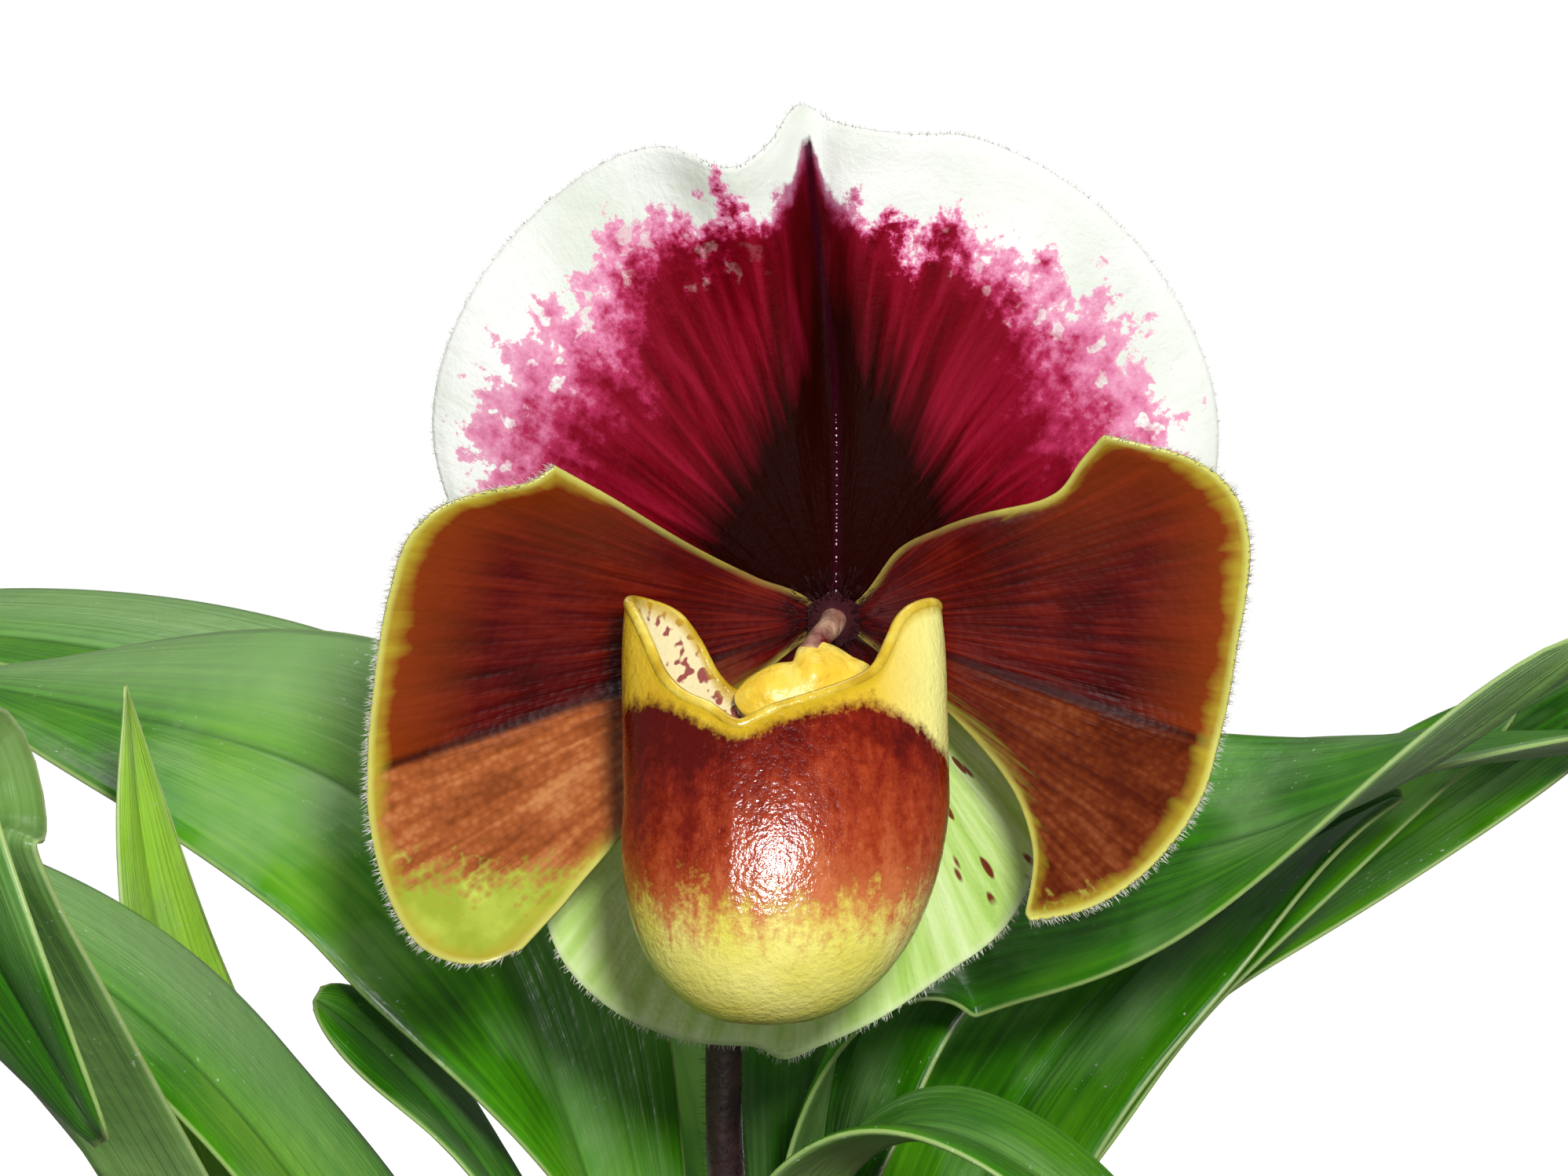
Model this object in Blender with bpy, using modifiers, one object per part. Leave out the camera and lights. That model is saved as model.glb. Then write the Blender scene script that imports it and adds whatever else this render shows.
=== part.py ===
"""A slipper orchid in bloom, growing in bark in a plain plastic pot.

Lengths are in metres, and +Z is up. The origin is the middle of the pot's underside. The bloom looks
along -Y. Sizes are written in millimetres times MM, and angles in degrees.
"""

import math
import random

import bmesh
import bpy
import numpy as np
from mathutils import Matrix, Vector

MM = 0.001

# Driving dimensions of the pot and the bark
POT_HEIGHT = 112 * MM
POT_RIM_RADIUS = 65 * MM
POT_RIM_HEIGHT = 11 * MM
POT_BODY_TOP_RADIUS = 60.5 * MM
POT_BASE_RADIUS = 45 * MM
POT_WALL = 2.4 * MM
POT_FOOT = 2.6 * MM
DRAIN_RING_RADIUS = 27 * MM
DRAIN_RADIUS = 5 * MM
DRAIN_COUNT = 6
BARK_TOP = 98 * MM
CHIP_COUNT = 26
CHIP_SPACING = 13.5 * MM
CHIP_SIZE = (10.5 * MM, 8 * MM, 6 * MM)

# Driving dimensions of the plant
SEAT_GAP = 0.3 * MM
LEAF_THICKNESS = 1.3 * MM
SCAPE_RADIUS = 2.4 * MM
BLOOM_CENTRE = Vector((0.0, -24 * MM, 245 * MM))
BLOOM_LOOKS_UP = math.radians(8)
SEPAL_THICKNESS = 0.9 * MM
PETAL_THICKNESS = 1.0 * MM
LIP_WALL = 1.1 * MM
RECEPTACLE_RADIUS = 3.9 * MM

collection = bpy.data.collections.new("slipper_orchid")
guides = bpy.data.collections.new("cutters")


def clear_scene():
    for thing in list(bpy.data.objects):
        bpy.data.objects.remove(thing)
    for group in (collection, guides):
        bpy.context.scene.collection.children.link(group)


def finish_of(name, colour, roughness):
    """A plain material: sRGB colour from 0 to 1, and how rough it is."""
    material = bpy.data.materials.get(name) or bpy.data.materials.new(name)
    material.use_nodes = True
    surface = material.node_tree.nodes["Principled BSDF"]
    surface.inputs["Base Color"].default_value = (*[c**2.2 for c in colour], 1)
    surface.inputs["Roughness"].default_value = roughness
    surface.inputs["Metallic"].default_value = 0
    return material


def object_of(name, bm, material, group=None):
    """A named object that holds the bmesh, with smooth faces."""
    mesh = bpy.data.meshes.new(name)
    bm.to_mesh(mesh)
    bm.free()
    mesh.shade_smooth()
    thing = bpy.data.objects.new(name, mesh)
    (group or collection).objects.link(thing)
    if material:
        mesh.materials.append(material)
    return thing


def eased(t):
    """0 below 0 and 1 above 1, and a smooth step between."""
    t = min(1.0, max(0.0, t))
    return t * t * (3 - 2 * t)


def through(stops, at):
    """The smooth curve through the stops, which are (place, value) pairs in rising order of place."""
    if at <= stops[0][0]:
        return stops[0][1]
    for i in range(len(stops) - 1):
        (x0, y0), (x1, y1) = stops[i], stops[i + 1]
        if at <= x1:
            before = stops[i - 1] if i else (2 * x0 - x1, 2 * y0 - y1)
            after = stops[i + 2] if i + 2 < len(stops) else (2 * x1 - x0, 2 * y1 - y0)
            slope0 = (y1 - before[1]) / (x1 - before[0])
            slope1 = (after[1] - y0) / (after[0] - x0)
            t = (at - x0) / (x1 - x0)
            run = x1 - x0
            return (
                y0 * (1 + 2 * t) * (1 - t) ** 2
                + slope0 * run * t * (1 - t) ** 2
                + y1 * t * t * (3 - 2 * t)
                - slope1 * run * t * t * (1 - t)
            )
    return stops[-1][1]


def sheet(name, across, along, place, thickness, material):
    """A thin living sheet: a grid whose corners go where place(u, v) says, given its thickness."""
    bm = bmesh.new()
    bmesh.ops.create_grid(bm, x_segments=across, y_segments=along, size=0.5)
    for corner in bm.verts:
        corner.co = place(corner.co.x + 0.5, corner.co.y + 0.5)
    bmesh.ops.triangulate(bm, faces=bm.faces[:])
    thing = object_of(name, bm, material)
    wall = thing.modifiers.new("thickness", "SOLIDIFY")
    wall.thickness = thickness
    wall.offset = 0
    return thing


def mesh_of_curve(curve_object):
    """The curve as a closed mesh object of the same name and place."""
    graph = bpy.context.evaluated_depsgraph_get()
    mesh = bpy.data.meshes.new_from_object(curve_object.evaluated_get(graph))
    bm = bmesh.new()
    bm.from_mesh(mesh)
    bmesh.ops.remove_doubles(bm, verts=bm.verts[:], dist=0.01 * MM)
    bm.to_mesh(mesh)
    bm.free()
    name, place = curve_object.name, curve_object.matrix_world.copy()
    group = curve_object.users_collection[0]
    bpy.data.objects.remove(curve_object)
    thing = bpy.data.objects.new(name, mesh)
    thing.matrix_world = place
    group.objects.link(thing)
    return thing


def tube(name, route, radii, sides, material):
    """A round stem along the route's points, with its own radius at each point."""
    data = bpy.data.curves.new(name, "CURVE")
    data.dimensions = "3D"
    data.bevel_depth = 1
    data.bevel_resolution = (sides - 4) // 2
    data.use_fill_caps = True
    line = data.splines.new("POLY")
    line.points.add(len(route) - 1)
    for point, spot, radius in zip(line.points, route, radii):
        point.co = (*spot, 1)
        point.radius = radius
    thing = bpy.data.objects.new(name, data)
    collection.objects.link(thing)
    bpy.context.view_layer.update()
    thing = mesh_of_curve(thing)
    thing.data.materials.clear()
    thing.data.materials.append(material)
    thing.data.shade_smooth()
    return thing


def smooth_route(stops, count):
    """Points along the smooth line through the stops, which are points in metres."""
    keyed = [[(i, stop[k]) for i, stop in enumerate(stops)] for k in range(3)]
    ends = len(stops) - 1
    return [
        Vector([through(keyed[k], ends * i / (count - 1)) for k in range(3)]) for i in range(count)
    ]


def turned(name, profile, steps, material, group=None):
    """A solid turned about Z from (radius, height) pairs that run down its outer side."""
    bm = bmesh.new()
    corners = [bm.verts.new((radius, 0, height)) for radius, height in profile]
    for a, b in zip(corners, corners[1:]):
        bm.edges.new((a, b))
    thing = object_of(name, bm, material, group)
    screw = thing.modifiers.new("turned", "SCREW")
    screw.steps = screw.render_steps = steps
    screw.use_merge_vertices = True
    screw.merge_threshold = 0.01 * MM
    return thing


def body_radius_at(height):
    """The pot body's outer radius at a height."""
    share = height / (POT_HEIGHT - POT_RIM_HEIGHT)
    return POT_BASE_RADIUS + (POT_BODY_TOP_RADIUS - POT_BASE_RADIUS) * share


# The pot is moulded in one piece: a tapering body, a rolled collar, and a base that stands on a low ring
# with drain holes inside it.
def make_pot():
    plastic = finish_of("pot_plastic", (0.62, 0.36, 0.25), 0.5)
    collar = POT_HEIGHT - POT_RIM_HEIGHT
    inner = POT_WALL
    profile = [
        (POT_RIM_RADIUS - inner, POT_HEIGHT),
        (POT_RIM_RADIUS - 0.5 * MM, POT_HEIGHT),
        (POT_RIM_RADIUS, POT_HEIGHT - 0.8 * MM),
        (POT_RIM_RADIUS - 0.8 * MM, collar + 0.6 * MM),
        (POT_RIM_RADIUS - 1.6 * MM, collar),
        (POT_BODY_TOP_RADIUS, collar - 0.4 * MM),
        (POT_BASE_RADIUS + 0.8 * MM, 4 * MM),
        (POT_BASE_RADIUS, 0),
        (POT_BASE_RADIUS - 4 * MM, 0),
        (POT_BASE_RADIUS - 5 * MM, POT_FOOT),
        (22 * MM, POT_FOOT),
        (20 * MM, 0),
        (0, 0),
        (0, POT_FOOT + inner),
        (POT_BASE_RADIUS - inner, POT_FOOT + inner),
        (body_radius_at(POT_FOOT + inner) - inner, POT_FOOT + inner + 1.5 * MM),
        (POT_BODY_TOP_RADIUS - inner, collar),
        (POT_RIM_RADIUS - inner, collar + 3 * MM),
        (POT_RIM_RADIUS - inner, POT_HEIGHT),
    ]
    pot = turned("pot", profile, 48, plastic)
    for i in range(DRAIN_COUNT):
        turn = math.tau * i / DRAIN_COUNT
        bm = bmesh.new()
        bmesh.ops.create_cone(
            bm, cap_ends=True, segments=12, radius1=DRAIN_RADIUS, radius2=DRAIN_RADIUS, depth=30 * MM
        )
        drain = object_of(f"drain_{i + 1}", bm, None, guides)
        drain.location = (DRAIN_RING_RADIUS * math.cos(turn), DRAIN_RING_RADIUS * math.sin(turn), 0)
        drain.hide_render = True
        drain.display_type = "WIRE"
        cut = pot.modifiers.new(drain.name, "BOOLEAN")
        cut.operation = "DIFFERENCE"
        cut.object = drain
    return pot


# The bark fills the pot to below its collar. Its chips stand out of the top at random, clear of the stems.
def make_bark(clear_of):
    brown = finish_of("bark", (0.30, 0.19, 0.12), 0.9)
    floor = POT_FOOT + POT_WALL + SEAT_GAP
    side = POT_WALL + SEAT_GAP
    profile = [
        (0, BARK_TOP),
        (body_radius_at(BARK_TOP) - side, BARK_TOP),
        (body_radius_at(floor + 4 * MM) - side, floor + 4 * MM),
        (body_radius_at(floor + 4 * MM) - side - 3 * MM, floor),
        (0, floor),
    ]
    bark = turned("bark", profile, 48, brown)
    draw = random.Random(11)
    chips = bpy.data.collections.new("chips")
    bpy.context.scene.collection.children.link(chips)
    reach = body_radius_at(BARK_TOP) - side - 7.5 * MM
    placed = []
    for _ in range(600):
        turn, out = draw.uniform(0, math.tau), reach * math.sqrt(draw.random())
        spot = Vector((out * math.cos(turn), out * math.sin(turn), 0))
        clear = all((spot - Vector((x, y, 0))).length > room for x, y, room in clear_of)
        if not clear or len(placed) == CHIP_COUNT or any((spot - other).length < CHIP_SPACING for other in placed):
            continue
        placed.append(spot)
        bm = bmesh.new()
        bmesh.ops.create_cube(bm, size=1)
        bmesh.ops.scale(bm, vec=[s * draw.uniform(0.8, 1.1) for s in CHIP_SIZE], verts=bm.verts[:])
        for corner in bm.verts:
            corner.co += Vector([draw.uniform(-0.9, 0.9) * MM for _ in range(3)])
        chip = object_of(f"chip_{len(placed)}", bm, None, chips)
        chip.location = spot + Vector((0, 0, BARK_TOP + draw.uniform(-0.6, 1.2) * MM))
        chip.rotation_euler = [draw.uniform(-0.35, 0.35), draw.uniform(-0.35, 0.35), turn * 5]
    join = bark.modifiers.new("chips", "BOOLEAN")
    join.operation = "UNION"
    join.operand_type = "COLLECTION"
    join.collection = chips
    join.solver = "MANIFOLD"
    bpy.context.view_layer.update()
    graph = bpy.context.evaluated_depsgraph_get()
    whole = bpy.data.meshes.new_from_object(bark.evaluated_get(graph))
    bark.modifiers.clear()
    bark.data = whole
    for chip in list(chips.objects):
        bpy.data.objects.remove(chip)
    bpy.data.collections.remove(chips)
    return bark


# Each growth is a low crown on the bark. The leaf bases stand on it, one inside another.
CROWN_TOP = 104 * MM
CROWNS = {
    "crown_flowering": (-7.5, 14, 14.5, 8.5),
    "crown_right": (21, 24, 13, 8),
    "crown_left": (-34, 0.5, 12, 10.5),
    "crown_front": (1.5, -16, 7, 7.5),
}


def make_crown(name, x, y, half_across, half_deep):
    green = finish_of("leaf_base", (0.45, 0.55, 0.25), 0.5)
    bm = bmesh.new()
    height = CROWN_TOP - BARK_TOP - SEAT_GAP
    bmesh.ops.create_cone(bm, cap_ends=True, segments=20, radius1=1, radius2=1, depth=height)
    bmesh.ops.scale(bm, vec=(half_across * MM, half_deep * MM, 1), verts=bm.verts[:])
    crown = object_of(name, bm, green)
    crown.location = (x * MM, y * MM, CROWN_TOP - height / 2)
    return crown


# A leaf is one folded strap. Its midrib is a cubic curve from its foot, pulled twice on its way, to its tip.
# Roll turns the blade about the midrib at the foot, the middle and the tip: positive tips the upper face
# towards the right of the leaf's heading. Widths and places are in millimetres.
LEAVES = {
    "leaf_right_front": dict(
        midrib=((-1.5, 12, 104), (-9, 20, 264), (21, 29, 168), (90, -8, 240)), roll=(-11, 48, -29), width=44
    ),
    "leaf_right_upper": dict(
        midrib=((3.5, 12.5, 104), (4, 23, 172), (-35, 35, 213), (128, 28, 224)), roll=(-2, 33, -23), width=32
    ),
    "leaf_right_back": dict(
        midrib=((15, 22, 104), (-1, 28, 158), (41, 40, 199), (74, 36, 213)), roll=(-2, 28, -8), width=33
    ),
    "leaf_right_pale": dict(
        midrib=((20, 23, 104), (9, 36, 162), (55, 49, 198), (90, 49, 223)), roll=(-3, 5, 10), width=24
    ),
    "leaf_right_low": dict(
        midrib=((25, 24, 104), (20, 62, 175), (50, 63, 179), (108, 49, 228)), roll=(-2, -11, 28), width=26
    ),
    "leaf_front_arch": dict(
        midrib=((0, -16, 104), (-16, -32, 213), (17, -51, 208), (59, -45, 140)), roll=(15, -4, -27), width=35
    ),
    "leaf_left_big": dict(
        midrib=((-13, 14, 104), (-45, 16, 226), (-44, 14, 218), (-113, 37, 228)), roll=(13, -40, -1), width=45
    ),
    "leaf_left_back": dict(
        midrib=((-20.5, 17, 104), (-10, 56, 189), (-43, 70, 237), (-156, 60, 230)), roll=(20, -13, 1), width=37
    ),
    "leaf_left_front": dict(
        midrib=((-33, -2, 104), (-51, -16, 160), (-75, -26, 222), (-134, -38, 219)), roll=(-22, -23, 1), width=40
    ),
    "leaf_left_under": dict(
        midrib=((-27, 2, 104), (-18, -14, 138), (-38, 14, 172), (-63, 4, 194)), roll=(-23, 7, -31), width=22
    ),
    "leaf_left_young": dict(
        midrib=((-38, 7, 104), (-68, 12, 148), (-85, 3, 190), (-84, -4, 234)), roll=(0, -45, -42), width=24,
        tip=(0.3, 1.0),
    ),
    "leaf_left_droop": dict(
        midrib=((-41, -5, 104), (-96, -72, 213), (-120, -68, 273), (-76, -82, 199)), roll=(-10, -9, 33), width=32
    ),
}
LEAF_BASE_SHARE = 0.32
LEAF_FOLD_AT_FOOT = math.radians(55)
LEAF_FOLD_IN_BLADE = math.radians(14)


def leaf_half_width(v, width, tip_from=0.62, point=0.5):
    """Half the blade's width at v along it: a narrow base, a long even strap, and a tip from tip_from on.

    A point of 0.5 makes the tip round and blunt, and a larger one makes it sharp."""
    swell = LEAF_BASE_SHARE + (1 - LEAF_BASE_SHARE) * eased(v / 0.45)
    tip = max(0.0, (v - tip_from) / (1.005 - tip_from))
    return width / 2 * swell * max(1 - tip**2.3, 0.0) ** point


def leaf_place(midrib, roll, width, fold=(LEAF_FOLD_AT_FOOT, LEAF_FOLD_IN_BLADE), tip=(0.62, 0.5)):
    """place(u, v) for a leaf: u across from its left edge, v along from its foot, in metres."""
    pull = [Vector(point) * MM for point in midrib]
    width = width * MM
    heading = pull[3] - pull[0]
    right = Vector((heading.y, -heading.x, 0)).normalized()

    def place(u, v):
        spot = (
            pull[0] * (1 - v) ** 3 + pull[1] * 3 * v * (1 - v) ** 2 + pull[2] * 3 * v * v * (1 - v) + pull[3] * v**3
        )
        ahead = (
            (pull[1] - pull[0]) * (1 - v) ** 2 + (pull[2] - pull[1]) * 2 * v * (1 - v) + (pull[3] - pull[2]) * v * v
        ).normalized()
        side = (right - ahead * right.dot(ahead)).normalized()
        up = side.cross(ahead)
        turn = math.radians(
            roll[0] * (1 - v) * (1 - 2 * v) + 4 * roll[1] * v * (1 - v) + roll[2] * v * (2 * v - 1)
        )
        side, up = (
            side * math.cos(turn) - up * math.sin(turn),
            side * math.sin(turn) + up * math.cos(turn),
        )
        half = leaf_half_width(v, width, *tip)
        bend = fold[1] + (fold[0] - fold[1]) * (1 - eased(v / 0.5))
        off = 2 * u - 1
        rise = (math.sqrt(off * off + 0.0025) - 0.05) * half * math.sin(bend) - 0.1 * half * off * off
        return spot + side * (off * half * math.cos(bend)) + up * rise

    return place


def make_leaf(name, midrib, roll, width, tip=(0.62, 0.5), cells=(4, 16)):
    young = "young" in name
    green = finish_of(
        "young_leaf" if young else "leaf", (0.55, 0.75, 0.20) if young else (0.20, 0.45, 0.12), 0.4
    )
    blade = leaf_place(midrib, roll, width, tip=tip)
    lowest = min(blade(u / 8, v / 24).z for u in range(9) for v in range(4))
    drop = lowest - CROWN_TOP - SEAT_GAP - LEAF_THICKNESS * 0.35

    def place(u, v):
        return blade(u, v) - Vector((0, 0, drop * (1 - v) ** 6))

    return sheet(name, cells[0], cells[1], place, LEAF_THICKNESS, green)


# Bloom. Its own frame has x to the viewer's right, y away from the viewer and z up, and its origin is where
# sepals, petals, lip and column meet. Turns are clockwise from straight up as the viewer sees them.
BLOOM_PLACE = Matrix.Translation(BLOOM_CENTRE) @ Matrix.Rotation(-BLOOM_LOOKS_UP, 4, "X")


def bloom_spot(x, y, z):
    """A point of the bloom's frame, in millimetres there, as metres in the plant's frame."""
    return BLOOM_PLACE @ (Vector((x, y, z)) * MM)


def fan_place(first_edge, last_edge, base, margin, depth):
    """place(u, v) for a petal or sepal that fans out from the receptacle: u from edge to edge, v outwards.

    The edges are (reach, turn) stops, base is its own reach, margin is (turn, reach) stops, and depth(reach,
    turn, v) is how far behind the bloom's centre the sheet lies."""

    def place(u, v):
        end_turn = through(first_edge, 1e3) * (1 - u) + through(last_edge, 1e3) * u
        reach = base + (through(margin, end_turn) - base) * v
        turn = through(first_edge, reach) * (1 - u) + through(last_edge, reach) * u
        angle = math.radians(turn)
        return bloom_spot(reach * math.sin(angle), depth(reach, turn, v), reach * math.cos(angle))

    return place


def dip(at, middle, width):
    """1 at the middle, falling smoothly to 0 about two widths away."""
    return math.exp(-(((at - middle) / width) ** 2))


DORSAL_MARGIN = (
    (-92, 30), (-82, 41), (-74, 46.5), (-63, 52.5), (-47, 56.7), (-28, 58.8), (-20, 57.6), (-13.4, 52.8),
    (-8, 54.6), (-3.8, 59.1), (0.5, 56.8), (8.3, 56), (15.6, 57.5), (30, 56.8), (46, 54.7), (61, 51.2),
    (74, 45.5), (82, 40), (92, 30),
)


def dorsal_depth(reach, turn, v):
    """The hood: it bows back, its top leans over the lip, its sides sweep back, its midrib is a groove."""
    upright = math.cos(math.radians(turn)) ** 2
    lean = 2.6 + 10 * v - 15 * v * v * upright
    groove = 1.7 * math.exp(-((reach * math.sin(math.radians(turn + 1.5)) / 2.4) ** 2)) * eased(v * 2)
    pleats = 0.45 * math.sin(math.radians(turn * 9)) * v
    curl = 3.2 * dip(turn, -14, 6) * v**7 + 1.6 * dip(turn, 8, 5) * v**7
    return lean + groove + pleats - curl


def make_dorsal_sepal():
    pink = finish_of("sepal_dorsal", (0.70, 0.12, 0.30), 0.5)
    place = fan_place(((4, -72), (30, -92)), ((4, 72), (30, 92)), 4.3, DORSAL_MARGIN, dorsal_depth)
    return sheet("sepal_dorsal", 26, 10, place, SEPAL_THICKNESS, pink)


LEFT_PETAL_MARGIN = (
    (-136.5, 50), (-134, 55), (-129, 58.6), (-123, 59), (-113, 57), (-106, 54.8), (-98, 52.4), (-86, 50),
    (-79.5, 48.8), (-74, 46), (-70, 42), (-66, 37.8), (-61.5, 36),
)
RIGHT_PETAL_MARGIN = (
    (55.5, 36.5), (60, 39.5), (66, 44), (72, 46.8), (79, 47.3), (87, 46.2), (94, 45.4), (107, 45.6), (115, 46),
    (124, 45.4), (133, 44.2), (140, 42.5), (148, 39.5),
)
PETAL_MIDRIB_TURN = 108
PETAL_CREASE = 2


def petal_depth(reach, turn, v):
    """A petal folds forward on both sides of its midrib, and its margin turns in a little."""
    off = abs(turn) - PETAL_MIDRIB_TURN
    across = reach * math.sin(math.radians(off))
    rise = math.hypot(across, PETAL_CREASE) - PETAL_CREASE
    fold = (0.24 if off < 0 else 0.32) * rise
    return -0.8 - 0.10 * (reach - 4) - fold * eased(reach / 22) - 2.2 * v**9


def make_petals():
    brown = finish_of("petal", (0.42, 0.12, 0.07), 0.35)
    left = fan_place(
        ((4, -125), (26, -134), (44, -136.3)), ((4, -50), (10, -61), (30, -61)), 4.3, LEFT_PETAL_MARGIN, petal_depth
    )
    sheet("petal_left", 18, 10, left, PETAL_THICKNESS, brown)
    right = fan_place(
        ((4, 50), (10, 42), (16, 49), (25, 58.5), (29, 60), (33, 57), (36, 55.5)),
        ((4, 125), (26, 132.5), (34, 139), (39, 147)), 4.3, RIGHT_PETAL_MARGIN, petal_depth,
    )
    sheet("petal_right", 18, 10, right, PETAL_THICKNESS, brown)


SYNSEPAL_MARGIN = (
    (125, 30), (138, 36), (151, 41), (163, 43.4), (175, 47.3), (182, 49.8), (186.5, 51.6), (190, 50.6),
    (200, 52), (212, 51.8), (222, 49), (235, 40),
)


def synsepal_depth(reach, turn, v):
    """The lower sepal is a shallow boat behind the lip, with its margin coming forward."""
    return 2.6 + 9 * math.sin(math.pi * 0.62 * v) - 3.5 * v**3 - 0.10 * reach * math.sin(math.radians(turn)) ** 2


def make_synsepal():
    lime = finish_of("sepal_lower", (0.62, 0.78, 0.28), 0.55)
    place = fan_place(((4, 115), (30, 121)), ((4, 244), (40, 238)), 4.3, SYNSEPAL_MARGIN, synsepal_depth)
    return sheet("sepal_lower", 16, 8, place, SEPAL_THICKNESS, lime)


# The lip is a slipper: an upright barrel, rounded at the toe, open at the top, with an ear on each side and a
# claw at the back that reaches the receptacle. Its turn is 0 at the front, and grows to the viewer's right.
LIP_HALF_WIDTH = 18
LIP_TOE = -44.6
LIP_WIDEST = -20
LIP_DEEPEST = -30
LIP_FRONT = -32.8
LIP_BACK = -7.6
LIP_LEANS_BACK = 0.008
LIP_CREASE_TURN = -14
LIP_CLAW_TURN = 166
LIP_RIM = (
    (-180, -7.5), (-165, -8.6), (-156, -6.5), (-148, -2.4), (-138, 0.6), (-120, 2), (-98, 2.4), (-82, 1.9),
    (-68, 0.4), (-57, -2.4), (-48, -5.8), (-38, -8), (-26, -9.4), (-19, -10.8), (-14, -11.3), (-9, -10.6),
    (0, -9.2), (14, -7.7), (27, -6.2), (34, -4.8), (40, -2.2), (46, 0.2), (54, 1.5), (66, 2.1), (80, 2.1),
    (94, 1.4), (112, -0.6), (130, -3.6), (148, -6.6), (160, -8), (180, -7.5),
)


def power(value, exponent):
    """The power of a number that keeps its sign."""
    return math.copysign(abs(value) ** exponent, value)


def closing(height, widest):
    """How wide the pouch still is at a height below its widest: 1 there, and 0 at the toe."""
    down = min(1.0, max(0.0, (widest - height) / (widest - LIP_TOE)))
    return (1 - down**2.25) ** (1 / 2.25)


def lip_place(u, v):
    turn = 360 * u - 180
    angle = math.radians(turn)
    rim = through(LIP_RIM, turn)
    height = LIP_TOE + (rim - LIP_TOE) * (1 - (1 - v) ** 1.35) if v > 0 else LIP_TOE
    share = closing(height, LIP_WIDEST)
    down = max(0.0, (LIP_WIDEST - height) / (LIP_WIDEST - LIP_TOE))
    above = max(0.0, height - LIP_WIDEST)
    half_width = LIP_HALF_WIDTH * share * (1 - 0.0016 * max(0.0, above - 14) ** 2)
    middle = -5.4 - 2.2 * down - 0.02 * above
    x = middle + half_width * power(math.sin(angle), 0.9)
    front = LIP_FRONT + LIP_LEANS_BACK * max(0.0, height - LIP_DEEPEST) ** 2
    half_depth = (LIP_BACK - front) / 2 * closing(height, LIP_DEEPEST)
    y = (LIP_BACK + front) / 2 - half_depth * power(math.cos(angle), 0.9)
    y -= 0.5 * dip(turn, LIP_CREASE_TURN, 5) * share
    spot = Vector((x, y, height))
    claw = max(dip(turn, LIP_CLAW_TURN, 11), dip(turn + 360, LIP_CLAW_TURN, 11)) * eased((v - 0.72) / 0.28)
    return bloom_spot(*spot.lerp(Vector((0.4, -3.2, -4.9)), claw * 0.97))


def make_lip():
    maroon = finish_of("lip", (0.55, 0.16, 0.10), 0.25)
    bm = bmesh.new()
    around, up = 40, 12
    bmesh.ops.create_grid(bm, x_segments=around, y_segments=up, size=0.5)
    for corner in bm.verts:
        corner.co = lip_place(corner.co.x + 0.5, corner.co.y + 0.5)
    bmesh.ops.remove_doubles(bm, verts=bm.verts[:], dist=0.02 * MM)
    bmesh.ops.recalc_face_normals(bm, faces=bm.faces[:])
    bmesh.ops.triangulate(bm, faces=bm.faces[:])
    lip = object_of("lip_pouch", bm, maroon)
    wall = lip.modifiers.new("wall", "SOLIDIFY")
    wall.thickness = LIP_WALL
    wall.offset = -1
    return lip


# The column: a stalk from the receptacle, and on its end the shield that half covers the lip's mouth.
COLUMN_STALK = ((0, -2.25, 0), (0, -3.2, -0.05), (-0.6, -5, -0.8), (-1.8, -8.5, -2.2), (-2.8, -11.2, -4))
COLUMN_RADII = (2.0, 2.0, 1.9, 1.7, 1.6)
SHIELD_CENTRE = (-3.2, -12.4, -7.2)
SHIELD_TILT = math.radians(-20)
SHIELD_OUTLINE = (
    (-180, 5.2), (-140, 6.2), (-100, 8.2), (-86, 7.2), (-71, 5.6), (-50, 4.2), (-28, 3.3), (-12, 4.6), (4, 5.5),
    (31, 5.8), (56, 6.4), (72, 7.8), (100, 7.2), (140, 5.8), (180, 5.2),
)


def make_column():
    yellow = finish_of("column", (0.93, 0.72, 0.16), 0.3)
    route = [bloom_spot(*point) for point in COLUMN_STALK]
    stalk = tube("column", route, [r * MM for r in COLUMN_RADII], 8, yellow)
    bm = bmesh.new()
    bmesh.ops.create_uvsphere(bm, u_segments=24, v_segments=8, radius=1)
    bmesh.ops.rotate(bm, matrix=Matrix.Rotation(math.radians(90), 3, "X"), verts=bm.verts[:])
    for corner in bm.verts:
        turn = math.atan2(corner.co.x, corner.co.z)
        out = through(SHIELD_OUTLINE, math.degrees(turn)) * math.hypot(corner.co.x, corner.co.z)
        corner.co = Vector((out * math.sin(turn), corner.co.y * 1.3 + 0.02 * out * out, out * math.cos(turn)))
    bmesh.ops.recalc_face_normals(bm, faces=bm.faces[:])
    place = BLOOM_PLACE @ Matrix.Translation(Vector(SHIELD_CENTRE) * MM)
    place = place @ Matrix.Rotation(SHIELD_TILT, 4, "X") @ Matrix.Scale(MM, 4)
    bmesh.ops.transform(bm, matrix=place, verts=bm.verts[:])
    shield = object_of("shield", bm, yellow)
    join = stalk.modifiers.new("shield", "BOOLEAN")
    join.operation = "UNION"
    join.object = shield
    bpy.context.view_layer.update()
    graph = bpy.context.evaluated_depsgraph_get()
    whole = bpy.data.meshes.new_from_object(stalk.evaluated_get(graph))
    stalk.modifiers.clear()
    stalk.data = whole
    bpy.data.objects.remove(shield)
    return stalk


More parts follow.
